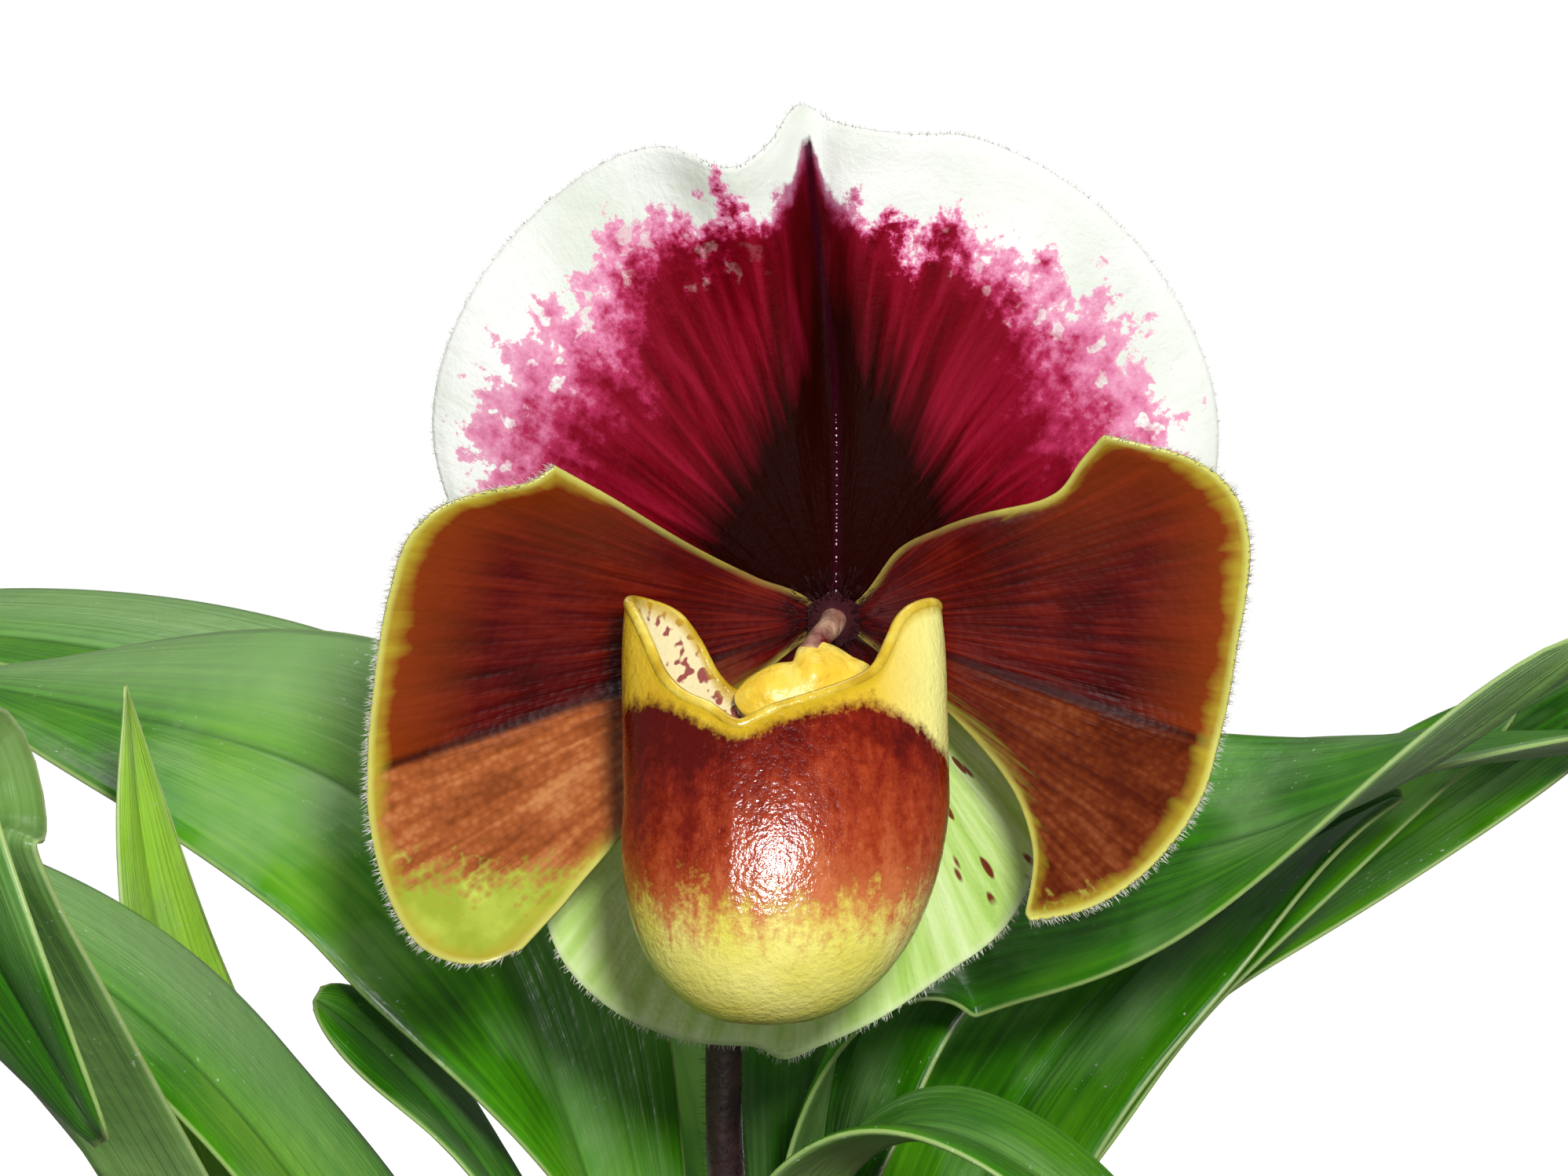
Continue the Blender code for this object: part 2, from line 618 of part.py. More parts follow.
# The flower stalk rises from its stem. The ovary stands on it, bends forward and carries the bloom on its end.
SCAPE_STOPS = ((-7, 14, 104.3), (-10, 15, 140), (-13, 13, 170), (-13, 10, 196))
OVARY_STOPS = ((-13, 9.7, 196.8), (-12, 9, 208), (-8.5, 8.5, 226), (-4, 4, 240), (-1, -6, 245))
OVARY_RADII = (2.2, 2.8, 3.0, 2.7, 2.5)


def make_flower_stalk():
    purple = finish_of("scape", (0.28, 0.16, 0.14), 0.7)
    stops = [Vector(point) * MM for point in SCAPE_STOPS]
    route = smooth_route(stops, 10)
    tube("scape", route, [SCAPE_RADIUS] * len(route), 10, purple)
    stops = [Vector(point) * MM for point in OVARY_STOPS]
    route = smooth_route(stops, 10)
    radii = [through(list(enumerate(OVARY_RADII)), i * 4 / 9) * MM for i in range(10)]
    disc = [bloom_spot(0, depth, 0) for depth in (5.5, 3.8, -1.9)]
    route += disc
    radii += [3.0 * MM, RECEPTACLE_RADIUS, RECEPTACLE_RADIUS]
    tube("ovary", route, radii, 12, finish_of("ovary", (0.40, 0.36, 0.20), 0.6))


def make_bract():
    green = finish_of("bract", (0.50, 0.58, 0.25), 0.5)
    place = leaf_place(
        ((-13, 14.6, 190), (-13, 15, 203), (-12.5, 16.5, 214), (-11.5, 20, 224)), (0, 0, 0), 13,
        (math.radians(38), math.radians(30)),
    )
    return sheet("bract", 4, 8, place, 0.8 * MM, green)


def build():
    clear_scene()
    make_pot()
    for name, shape in CROWNS.items():
        make_crown(name, *shape)
    for name, shape in LEAVES.items():
        make_leaf(name, **shape)
    make_flower_stalk()
    make_bract()
    make_dorsal_sepal()
    make_petals()
    make_synsepal()
    make_lip()
    make_column()
    make_bark([(x * MM, y * MM, (across + 6.5) * MM) for x, y, across, _ in CROWNS.values()])


build()
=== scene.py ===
# A slipper orchid in bloom, in bark, in a plain plastic pot. Lengths are in mm, and MM makes them metres.
import functools
import math
import random

import bmesh
import bpy
from mathutils import Matrix, Vector


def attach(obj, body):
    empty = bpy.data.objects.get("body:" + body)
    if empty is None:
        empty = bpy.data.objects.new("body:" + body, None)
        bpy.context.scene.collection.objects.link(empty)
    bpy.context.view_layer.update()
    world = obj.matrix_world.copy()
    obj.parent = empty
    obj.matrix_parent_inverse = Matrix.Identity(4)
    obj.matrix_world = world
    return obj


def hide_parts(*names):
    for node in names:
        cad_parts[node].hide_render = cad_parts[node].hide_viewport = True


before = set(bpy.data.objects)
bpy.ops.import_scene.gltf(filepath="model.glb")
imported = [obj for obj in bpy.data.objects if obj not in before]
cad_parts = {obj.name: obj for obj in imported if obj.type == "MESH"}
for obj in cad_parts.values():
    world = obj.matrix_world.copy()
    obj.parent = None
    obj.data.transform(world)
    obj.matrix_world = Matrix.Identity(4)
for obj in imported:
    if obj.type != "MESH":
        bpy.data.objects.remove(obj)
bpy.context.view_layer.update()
MM = 0.001


# The pot. Injection-moulded polypropylene in a terracotta colour: an even satin skin with a faint flow grain,
# and a little pale mineral bloom near its foot from watering.
def hex_colour(code):
    """An sRGB hex colour as the linear colour that a shader takes."""
    parts = [int(code[i : i + 2], 16) / 255 for i in (1, 3, 5)]
    return (*[p / 12.92 if p <= 0.04045 else ((p + 0.055) / 1.055) ** 2.4 for p in parts], 1)


def add_node(tree, kind, *inputs, take=0, stops=(), to=None, **settings):
    """Adds a node and gives its output. Inputs come by place, or with the settings by name. A Mix mixes
    colours, stops fill a ramp, and to names the shader's socket that the output feeds."""
    made = tree.nodes.new("ShaderNode" + kind)
    if kind == "Mix":
        made.data_type, take = "RGBA", 2
    sockets = {socket.identifier: socket for socket in made.inputs}
    for name, value in settings.items():
        if name not in sockets:
            setattr(made, name, value)
    given = [(made.inputs[i], value) for i, value in enumerate(inputs)]
    given += [(sockets[name], value) for name, value in settings.items() if name in sockets]
    for socket, value in given:
        if isinstance(value, bpy.types.NodeSocket):
            tree.links.new(value, socket)
        else:
            socket.default_value = hex_colour(value) if isinstance(value, str) else value
    for i, (place, colour) in enumerate(stops):
        element = made.color_ramp.elements[i] if i < 2 else made.color_ramp.elements.new(place)
        element.position = place
        element.color = hex_colour(colour)
    if to:
        tree.links.new(made.outputs[take], tree.nodes["Principled BSDF"].inputs[to])
    return made.outputs[take]


def new_finish(name, **constants):
    """A material whose shader has these constant sockets, and the function that adds its nodes."""
    finish = bpy.data.materials.new(name)
    finish.use_nodes = True
    shader = finish.node_tree.nodes["Principled BSDF"]
    for socket, value in constants.items():
        shader.inputs[socket.replace("_", " ")].default_value = value
    return finish, functools.partial(add_node, finish.node_tree)


def pot_finish():
    finish, node = new_finish("satin_polypropylene", IOR=1.49, Specular_IOR_Level=0.2)
    place = node("TexCoord", take="Object")
    cloud = node("TexNoise", place, Scale=40, Detail=4)
    low = node("MapRange", node("SeparateXYZ", place, take="Z"), 0.0, 30 * MM, 0.55, 0.0)
    chalk = node("Math", low, cloud, operation="MULTIPLY")
    body = node("ValToRGB", cloud, stops=[(0.35, "#A2583A"), (0.65, "#AD6244")])
    node("Mix", chalk, A_Color=body, B_Color="#CDB5A2", to="Base Color")
    node("MapRange", cloud, 0.0, 1.0, 0.42, 0.56, to="Roughness")
    # a flow grain of about a millimetre
    node("Bump", Height=node("TexNoise", place, Scale=900), Distance=0.04 * MM, to="Normal")
    return finish


def new_object(name, data):
    made = bpy.data.objects.new(name, data)
    bpy.context.scene.collection.objects.link(made)
    return made


def mesh_object(name, bm, finish):
    """An object from its bmesh, which is used up, with one finish or a list of them."""
    mesh = bpy.data.meshes.new(name)
    bm.to_mesh(mesh)
    bm.free()
    for each in finish if isinstance(finish, list) else [finish]:
        mesh.materials.append(each)
    return new_object(name, mesh)


def object_of(name, bm, finish, node=None, smooth=True):
    """A piece on the root body, in place of the CAD node where one is named."""
    piece = mesh_object(name, bm, finish)
    if smooth:
        piece.data.shade_smooth()
    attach(piece, "root")
    if node:
        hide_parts(node)
    return piece


# the moulded skin is the solid's own, with its facets smoothed between the real edges
bm = bmesh.new()
bm.from_mesh(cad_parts["pot"].data)
bmesh.ops.remove_doubles(bm, verts=bm.verts[:], dist=0.005 * MM)
moulding = object_of("pot_moulding", bm, pot_finish(), "pot")
moulding.data.set_sharp_from_angle(angle=math.radians(32))


# The bark. Broken fir bark in chips of about 12 mm: dark, dry outer cork on the corners and redder inner cork
# on the broken faces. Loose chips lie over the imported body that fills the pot.
def bark_finish():
    finish, node = new_finish("fir_bark", IOR=1.45, Specular_IOR_Level=0.25, Roughness=0.88)
    place = node("TexCoord", take="Object")
    cork = [(0.28, "#1E1009"), (0.46, "#4A2C1B"), (0.6, "#74492F"), (0.78, "#A07A58")]
    node("ValToRGB", node("TexNoise", place, Scale=90, Detail=6, Roughness=0.7), stops=cork, to="Base Color")
    ridges = node("TexNoise", place, Scale=420, Detail=5, Roughness=0.75)
    node("Bump", Height=ridges, Distance=0.7 * MM, to="Normal")
    return finish


def dress(node, finish):
    """Gives a CAD node a finish."""
    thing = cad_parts[node]
    thing.data.materials.clear()
    thing.data.materials.append(finish)


bark = bark_finish()
dress("bark", bark)
BARK_TOP = 98 * MM
CHIP_SIZE = (11, 7.5, 4.5)
# where the crowns stand, each by its middle and its half widths: no chip lies there
CROWNS = ((-7.5, 14, 14.5, 8.5), (21, 24, 13, 8), (-34, 0.5, 12, 10.5), (1.5, -16, 7, 7.5))


def loose_chips(count, reach):
    """So many chips, dropped anywhere within reach of the pot's middle."""
    draw = random.Random(5)
    clear = CHIP_SIZE[0] / 2
    bm = bmesh.new()
    made = 0
    for _ in range(count * 6):
        turn, out = draw.uniform(0, math.tau), reach * math.sqrt(draw.random())
        x, y = out * math.cos(turn), out * math.sin(turn)
        if made == count:
            break
        if any(math.hypot((x - cx) / (a + clear), (y - cy) / (b + clear)) < 1 for cx, cy, a, b in CROWNS):
            continue
        made += 1
        size = [s * draw.uniform(0.65, 1.25) * MM for s in CHIP_SIZE]
        place = (
            Matrix.Translation((x * MM, y * MM, BARK_TOP + draw.uniform(0.5, 4.5) * MM))
            @ Matrix.Rotation(draw.uniform(0, math.tau), 4, "Z")
            @ Matrix.Rotation(draw.uniform(-0.5, 0.5), 4, "X")
            @ Matrix.Rotation(draw.uniform(-0.5, 0.5), 4, "Y")
            @ Matrix.Diagonal((*size, 1))
        )
        block = bmesh.ops.create_cube(bm, size=1, matrix=place)["verts"]
        for corner in block:
            corner.co += Vector([draw.uniform(-1.1, 1.1) * MM for _ in range(3)])
        edges = list({edge for corner in block for edge in corner.link_edges})
        bmesh.ops.bevel(bm, geom=edges, offset=0.7 * MM, segments=1, profile=0.5, affect="EDGES", material=-1)
    return object_of("bark_chips", bm, bark, smooth=False)


loose_chips(count=190, reach=51)


# The crowns. Each growth's short stem is wrapped in old leaf bases: pale green, dry and buff at the bottom.
def crown_finish():
    finish, node = new_finish("leaf_base_tissue", IOR=1.42, Roughness=0.75, Specular_IOR_Level=0.08)
    place = node("TexCoord", take="Object")
    up = node("MapRange", node("SeparateXYZ", place, take="Z"), BARK_TOP, BARK_TOP + 8 * MM)
    mottled = node("Math", up, node("TexNoise", place, Scale=160, Detail=4), operation="ADD")
    node("ValToRGB", mottled, stops=[(0.4, "#4E3A20"), (0.75, "#6A6A34"), (1, "#5C7E2E")], to="Base Color")
    node("Bump", Height=node("TexNoise", place, Scale=300, Detail=3), Distance=0.3 * MM, to="Normal")
    return finish


leaf_bases = crown_finish()
for crown in ("crown_flowering", "crown_right", "crown_left", "crown_front"):
    dress(crown, leaf_bases)


# The leaves. Thick, waxy straps, folded along a sunk midrib, with a thin pale margin and fine scuffs from
# handling. The wax gives broad soft highlights, and a grey-green painted sheen lies over the deep green in
# patches.
def eased(t):
    t = min(1.0, max(0.0, t))
    return t * t * (3 - 2 * t)


# where along a blade its tip begins, and how sharp that is
BLUNT_TIP = (0.62, 0.5)
YOUNG_TIP = (0.3, 1.0)


def leaf_half_width(v, width, tip=BLUNT_TIP):
    """Half the blade's width at v along it, as the solid leaf has it."""
    tip_from, point = tip
    swell = 0.32 + 0.68 * eased(v / 0.45)
    beyond = max(0.0, (v - tip_from) / (1.005 - tip_from))
    return width / 2 * swell * max(1 - beyond**2.3, 0.0) ** point


def leaf_place(midrib, roll, width, fold=(55, 14), tip=BLUNT_TIP, wave=0.0):
    """place(u, v) for a leaf, as the solid has it, with a fine sunk midrib and a slow wave in its margins."""
    pull = [Vector(point) * MM for point in midrib]
    width = width * MM
    heading = pull[3] - pull[0]
    right = Vector((heading.y, -heading.x, 0)).normalized()
    fold = [math.radians(each) for each in fold]

    def place(u, v):
        rest = 1 - v
        spot = pull[0] * rest**3 + pull[1] * 3 * v * rest**2 + pull[2] * 3 * v * v * rest + pull[3] * v**3
        steps = [pull[i + 1] - pull[i] for i in range(3)]
        ahead = steps[0] * rest**2 + steps[1] * 2 * v * rest + steps[2] * v * v
        ahead.normalize()
        side = (right - ahead * right.dot(ahead)).normalized()
        up = side.cross(ahead)
        turn = math.radians(roll[0] * rest * (1 - 2 * v) + 4 * roll[1] * v * rest + roll[2] * v * (2 * v - 1))
        side, up = (
            side * math.cos(turn) - up * math.sin(turn),
            side * math.sin(turn) + up * math.cos(turn),
        )
        half = leaf_half_width(v, width, tip)
        bend = fold[1] + (fold[0] - fold[1]) * (1 - eased(v / 0.5))
        off = 2 * u - 1
        rise = (math.sqrt(off * off + 0.0025) - 0.05) * half * math.sin(bend) - 0.1 * half * off * off
        rise -= 0.45 * MM * math.exp(-((off * half / (1.1 * MM)) ** 2)) * eased(v * 8)
        rise += wave * MM * abs(off) ** 3 * math.sin(v * 21 + off * 2) * eased(v * 3)
        return spot + side * (off * half * math.cos(bend)) + up * rise

    return place


def sheet(name, cells, place, thickness, finish, marks, node=None):
    """A thin living sheet on a grid. marks(u, v) gives the named numbers that its finish reads."""
    bm = bmesh.new()
    bmesh.ops.create_grid(bm, x_segments=cells[0], y_segments=cells[1], size=0.5)
    layers = {key: bm.verts.layers.float.new(key) for key in marks(0.5, 0.5)}
    thick = bm.verts.layers.deform.verify()
    for corner in bm.verts:
        u, v = corner.co.x + 0.5, corner.co.y + 0.5
        corner.co = place(u, v)
        for key, value in marks(u, v).items():
            corner[layers[key]] = value
        # the sheet thins over its last two millimetres
        corner[thick][0] = 0.3 + 0.7 * eased(corner[layers["edge"]] / 2)
    piece = object_of(name, bm, finish, node)
    piece.vertex_groups.new(name="thick")
    wall = piece.modifiers.new("thickness", "SOLIDIFY")
    wall.vertex_group = "thick"
    wall.thickness = thickness
    wall.offset = 0
    if isinstance(finish, list):
        wall.material_offset = 1
    return piece


def drawn_out(node, across, along, wide, tall):
    """Where a streaky pattern is read: wide is its cells to a unit of across, and tall to a mm of along."""
    return node("Mapping", node("CombineXYZ", across, along), Scale=(wide, tall, 1))


def leaf_finish(name, deep, mid, light, pale, outer_sheen=0.0):
    """The last argument is how much painted sheen, in grey-green, lies all over the blade's outer half,
    besides its patches.
    """
    finish, node = new_finish(name, IOR=1.45, Specular_IOR_Level=0.3, Coat_Weight=0.15, Coat_Roughness=0.25)
    across, along, edge = [
        node("Attribute", attribute_name=key, take="Fac") for key in ("across", "along", "edge")
    ]
    place = node("TexCoord", take="Object")
    cloud = node("TexNoise", place, Scale=30, Detail=5)
    # sixteen or so veins to a half blade, each unbroken for some 50 mm
    veins = node("TexNoise", drawn_out(node, across, along, 16, 0.02), Scale=1, Detail=3)
    tone = node("Math", veins, 0.3, node("Math", cloud, 0.7, operation="MULTIPLY"), operation="MULTIPLY_ADD")
    green = node("ValToRGB", tone, stops=[(0.36, deep), (0.5, mid), (0.66, light)])
    # painted sheen: grey-green laid in broad patches drawn out along the blade, and over the outer half as
    # asked
    sheen_patches = node("TexNoise", drawn_out(node, across, along, 0.8, 0.03), Scale=1, Detail=3)
    sheen_patches = node("MapRange", sheen_patches, 0.46, 0.68, 0.0, 0.55)
    outer = node("MapRange", along, 45, 110, 0.0, outer_sheen)
    outer_sheen_mask = node("Math", outer, node("MapRange", across, -0.2, 0.5), operation="MULTIPLY")
    sheen_patches = node("Math", sheen_patches, outer_sheen_mask, operation="MAXIMUM")
    green = node("Mix", sheen_patches, A_Color=green, B_Color="#93B878")
    middle = node("MapRange", node("Math", across, operation="ABSOLUTE"), 0.0, 0.05, 0.6, 0.0)
    green = node("Mix", middle, A_Color=green, B_Color=deep)
    margin = node("MapRange", edge, 0.1, 0.5, 0.65, 0.0)
    green = node("Mix", margin, A_Color=green, B_Color=pale)
    # dust and dried drops: specks under a millimetre, in loose patches
    specks = node("MapRange", node("TexNoise", place, Scale=1300), 0.68, 0.76)
    dusty = node("MapRange", node("TexNoise", place, Scale=70, Detail=3), 0.5, 0.64, 0.0, 0.8)
    dust = node("Math", specks, dusty, operation="MULTIPLY")
    node("Mix", dust, A_Color=green, B_Color="#DCE8D2", to="Base Color")
    node("MapRange", cloud, 0.3, 0.7, 0.30, 0.46, to="Roughness")
    fine = node("TexNoise", place, Scale=260, Detail=3)
    relief = node("Math", veins, 0.8, fine, operation="MULTIPLY_ADD")
    node("Bump", Height=relief, Distance=0.4 * MM, to="Normal")
    return finish


# Each leaf's midrib, as the four points that pull on its curve, its roll in degrees at the base, the middle
# and the tip, and its width.
LEAVES = {
    "right_front": (((-1.5, 12, 104), (-9, 20, 264), (21, 29, 168), (90, -8, 240)), (-11, 48, -29), 44),
    "right_upper": (((3.5, 12.5, 104), (4, 23, 172), (-35, 35, 213), (128, 28, 224)), (-2, 33, -23), 32),
    "right_back": (((15, 22, 104), (-1, 28, 158), (41, 40, 199), (74, 36, 213)), (-2, 28, -8), 33),
    "right_pale": (((20, 23, 104), (9, 36, 162), (55, 49, 198), (90, 49, 223)), (-3, 5, 10), 24),
    "right_low": (((25, 24, 104), (20, 62, 175), (50, 63, 179), (108, 49, 228)), (-2, -11, 28), 26),
    "front_arch": (((0, -16, 104), (-16, -32, 213), (17, -51, 208), (59, -45, 140)), (15, -4, -27), 35),
    "left_big": (((-13, 14, 104), (-45, 16, 226), (-44, 14, 218), (-113, 37, 228)), (13, -40, -1), 45),
    "left_back": (((-20.5, 17, 104), (-10, 56, 189), (-43, 70, 237), (-156, 60, 230)), (20, -13, 1), 37),
    "left_front": (((-33, -2, 104), (-51, -16, 160), (-75, -26, 222), (-134, -38, 219)), (-22, -23, 1), 40),
    "left_under": (((-27, 2, 104), (-18, -14, 138), (-38, 14, 172), (-63, 4, 194)), (-23, 7, -31), 22),
    "left_young": (((-38, 7, 104), (-68, 12, 148), (-85, 3, 190), (-84, -4, 234)), (0, -45, -42), 24),
    "left_droop": (((-41, -5, 104), (-96, -72, 213), (-120, -68, 273), (-76, -82, 199)), (-10, -9, 33), 32),
}
LEAF_THICKNESS = 1.3 * MM
LEAF_SEAT = 104.3 * MM
leaf_green = leaf_finish("waxy_leaf", "#1B4A03", "#357C04", "#5CA010", "#B4CC7C")
# a copy in lighter greens, with painted sheen over its outer half, for the big leaves on the left
leaf_sheened = leaf_finish("sheened_leaf", "#245A04", "#479408", "#78B42C", "#B4CC7C", 0.7)
leaf_underside = leaf_finish("waxy_leaf_underside", "#4E7A30", "#6C9448", "#88AC64", "#B9CC92")
young_green = leaf_finish("waxy_young_leaf", "#8AC42C", "#A8DC48", "#BEE866", "#D8EEA0")


def make_leaf(name, midrib, roll, width):
    young = name == "left_young"
    tip = YOUNG_TIP if young else BLUNT_TIP
    blade = leaf_place(midrib, roll, width, tip=tip, wave=0.25)
    lowest = min(blade(u / 8, v / 24).z for u in range(9) for v in range(4))
    drop = lowest - LEAF_SEAT - LEAF_THICKNESS * 0.35
    length = (Vector(midrib[3]) - Vector(midrib[0])).length * 1.2

    def place(u, v):
        return blade(u, v) - Vector((0, 0, drop * (1 - v) ** 6))

    def marks(u, v):
        side = (1 - abs(2 * u - 1)) * leaf_half_width(v, width, tip)
        return {"across": 2 * u - 1, "along": v * length, "edge": min(side, (1 - v) * length)}

    # the big leaves on the left take the copy with painted sheen
    upper = leaf_sheened if name in ("left_big", "left_back", "left_front") else leaf_green
    finish = young_green if young else [upper, leaf_underside]
    sheet(f"blade_{name}", (26, 96), place, LEAF_THICKNESS, finish, marks, f"leaf_{name}")


for leaf, (midrib, roll, width) in LEAVES.items():
    make_leaf(leaf, midrib, roll, width)


# The flower stalk. A dark purple scape and a ribbed ovary, both with short stiff hairs, and a green bract
# at the joint between them.
def through(stops, at):
    """The smooth curve through (place, value) stops in rising order."""
    if at <= stops[0][0]:
        return stops[0][1]
    for i in range(len(stops) - 1):
        (x0, y0), (x1, y1) = stops[i], stops[i + 1]
        if at <= x1:
            before = stops[i - 1] if i else (2 * x0 - x1, 2 * y0 - y1)
            after = stops[i + 2] if i + 2 < len(stops) else (2 * x1 - x0, 2 * y1 - y0)
            slope0 = (y1 - before[1]) / (x1 - before[0])
            slope1 = (after[1] - y0) / (after[0] - x0)
            run, t = x1 - x0, (at - x0) / (x1 - x0)
            return (
                y0 * (1 + 2 * t) * (1 - t) ** 2
                + slope0 * run * t * (1 - t) ** 2
                + y1 * t * t * (3 - 2 * t)
                - slope1 * run * t * t * (1 - t)
            )
    return stops[-1][1]


def stem_finish(name, dark, light, bloom_end=None):
    """bloom_end, where given, is the colour that the stem turns to as it comes forward under the bloom."""
    finish, node = new_finish(name, IOR=1.42, Roughness=0.6, Sheen_Weight=0.3, Sheen_Roughness=0.4)
    place = node("TexCoord", take="Object")
    mottle = node("TexNoise", place, Scale=240, Detail=4)
    tone = node("ValToRGB", mottle, stops=[(0.35, dark), (0.7, light)], to="Base Color")
    if bloom_end:
        ahead = node("MapRange", node("SeparateXYZ", place, take="Y"), -14 * MM, -19 * MM)
        node("Mix", ahead, A_Color=tone, B_Color=bloom_end, to="Base Color")
    node("Bump", Height=node("TexNoise", place, Scale=900), Distance=0.2 * MM, to="Normal")
    return finish


def ribbed_stem(name, stops, radii, rib, finish, node):
    """A round stem on a smooth route, with six soft ribs of the given height in mm."""
    keyed = [[(i, stop[k]) for i, stop in enumerate(stops)] for k in range(3)]
    ends, rings, sides = len(stops) - 1, 44, 36
    route = [Vector([through(keyed[k], ends * i / rings) for k in range(3)]) * MM for i in range(rings + 1)]
    bm = bmesh.new()
    last = None
    for i, spot in enumerate(route):
        ahead = (route[min(i + 1, rings)] - route[max(i - 1, 0)]).normalized()
        turned = ahead.to_track_quat("Z", "Y").to_matrix().to_4x4()
        radius = through(list(enumerate(radii)), ends * i / rings) * MM
        place, capped = Matrix.Translation(spot) @ turned, i in (0, rings)
        made = bmesh.ops.create_circle(bm, segments=sides, radius=radius, cap_ends=capped, matrix=place)
        ring = made["verts"]
        for k, corner in enumerate(ring):
            corner.co += (corner.co - spot).normalized() * rib * MM * math.cos(math.tau * 6 * k / sides)
        near = {edge for corner in ring for edge in corner.link_edges}
        loop = [edge for edge in near if all(corner in ring for corner in edge.verts)]
        if last:
            bmesh.ops.bridge_loops(bm, edges=last + loop)
        last = loop
    bmesh.ops.recalc_face_normals(bm, faces=bm.faces[:])
    return object_of(name, bm, finish, node), route


def add_hair(bm, root, way, length, thick, draw, lean=0.35):
    """One hair: a three-sided cone on its root."""
    way = (way + Vector([draw.uniform(-lean, lean) for _ in range(3)])).normalized()
    length *= draw.uniform(0.6, 1.15)
    place = Matrix.Translation(root + way * length * 0.5) @ way.to_track_quat("Z", "Y").to_matrix().to_4x4()
    bmesh.ops.create_cone(
        bm, cap_ends=True, segments=3, radius1=thick, radius2=thick * 0.12, depth=length, matrix=place
    )


def hair_finish(name, dark, light):
    finish, node = new_finish(name, IOR=1.5, Roughness=0.5)
    tone = node("TexNoise", node("TexCoord", take="Object"), Scale=500)
    node("ValToRGB", tone, stops=[(0.3, dark), (0.7, light)], to="Base Color")
    return finish


white_hair = hair_finish("pale_hairs", "#D9D6C6", "#F6F4EA")
purple_hair = hair_finish("purple_hairs", "#22060E", "#4A1422")


def stem_hairs(name, route, radius, count, length, finish, seed):
    draw = random.Random(seed)
    bm = bmesh.new()
    for _ in range(count):
        i = draw.randrange(1, len(route) - 2)
        spot = route[i].lerp(route[i + 1], draw.random())
        ahead = (route[i + 1] - route[i]).normalized()
        out = ahead.orthogonal().normalized()
        out.rotate(Matrix.Rotation(draw.uniform(0, math.tau), 3, ahead))
        add_hair(bm, spot + out * radius, out, length, 0.05 * MM, draw)
    return object_of(name, bm, finish)


SCAPE = ((-7, 14, 104.3), (-10, 15, 140), (-13, 13, 170), (-13, 10, 196))
OVARY = ((-13, 9.7, 196.8), (-12, 9, 208), (-8.5, 8.5, 226), (-4, 4, 240), (-1, -6, 245))
scape_skin = stem_finish("scape_skin", "#2C1216", "#5B3A34")
_, scape_route = ribbed_stem(
    "flower_scape", SCAPE, (2.4, 2.35, 2.3, 2.4), 0.05, scape_skin, "scape"
)
stem_hairs("scape_hairs", scape_route, 2.35 * MM, 700, 1.1 * MM, purple_hair, 21)
BLOOM_CENTRE = Vector((0.0, -24 * MM, 245 * MM))
# the bloom tips back by these degrees, to face a camera that looks down on it as far
BLOOM_TIP = 8
BLOOM_PLACE = Matrix.Translation(BLOOM_CENTRE) @ Matrix.Rotation(-math.radians(BLOOM_TIP), 4, "X")


def bloom_spot(x, y, z):
    """A point of the bloom's frame in mm (x to the viewer's right, y away, z up), as metres in the world."""
    return BLOOM_PLACE @ (Vector((x, y, z)) * MM)


disc = [tuple(bloom_spot(0, depth, 0) / MM) for depth in (5.5, 3.8, 1, -1.9)]
_, ovary_route = ribbed_stem(
    "ribbed_ovary", (*OVARY, *disc), (2.2, 2.8, 3.0, 2.7, 2.5, 2.7, 3.0, 3.1, 3.1), 0.18,
    stem_finish("ovary_skin", "#4B4A1E", "#7E8A3C", "#3A0610"), "ovary",
)
stem_hairs("ovary_hairs", ovary_route[:30], 2.7 * MM, 420, 0.9 * MM, purple_hair, 22)
BRACT = ((-13, 14.6, 190), (-13, 15, 203), (-12.5, 16.5, 214), (-11.5, 20, 224))
BRACT_WIDTH = 13
BRACT_LENGTH = 36


def bract_marks(u, v):
    side = (1 - abs(2 * u - 1)) * leaf_half_width(v, BRACT_WIDTH)
    return {"across": 2 * u - 1, "along": v * BRACT_LENGTH, "edge": side}


bract_green = leaf_finish("bract_tissue", "#4C6A22", "#6F8F32", "#93AE4C", "#C2CE86")
bract_place = leaf_place(BRACT, (0, 0, 0), BRACT_WIDTH, (38, 30))
sheet("bract_blade", (16, 40), bract_place, 0.8 * MM, bract_green, bract_marks, "bract")


# The dorsal sepal. A broad white hood, flushed crimson from its base in rays that break up into pink specks,
# near black along its sunk midrib. Thin, soft tissue with a fine down and no gloss.
# The sheets start this far out from the bloom's middle, a little nearer than the solids do.
BLOOM_BASE = 2.9


def fan_place(first_edge, last_edge, margin, depth):
    """place(u, v) and polar(u, v) for a petal or sepal: u goes from edge to edge, and v outwards. An edge has
    its degrees at mm out, the margin its mm out at degrees, and depth(reach, turn, v) is mm to the back."""

    def polar(u, v):
        end_turn = through(first_edge, 1e3) * (1 - u) + through(last_edge, 1e3) * u
        reach = BLOOM_BASE + (through(margin, end_turn) - BLOOM_BASE) * v
        return reach, through(first_edge, reach) * (1 - u) + through(last_edge, reach) * u

    def place(u, v):
        reach, turn = polar(u, v)
        angle = math.radians(turn)
        return bloom_spot(reach * math.sin(angle), depth(reach, turn, v), reach * math.cos(angle))

    return place, polar


def fan_marks(polar, extra=None):
    """What a bloom sheet's finish reads: reach and edge in mm, turn in degrees, and what extra adds."""

    def marks(u, v):
        reach, turn = polar(u, v)
        side = min(u, 1 - u) * math.radians(abs(polar(0, v)[1] - polar(1, v)[1])) * reach
        found = {"reach": reach, "turn": turn, "edge": min(side, (1 - v) * polar(u, 1)[0])}
        return {**found, **extra(reach, turn)} if extra else found

    return marks


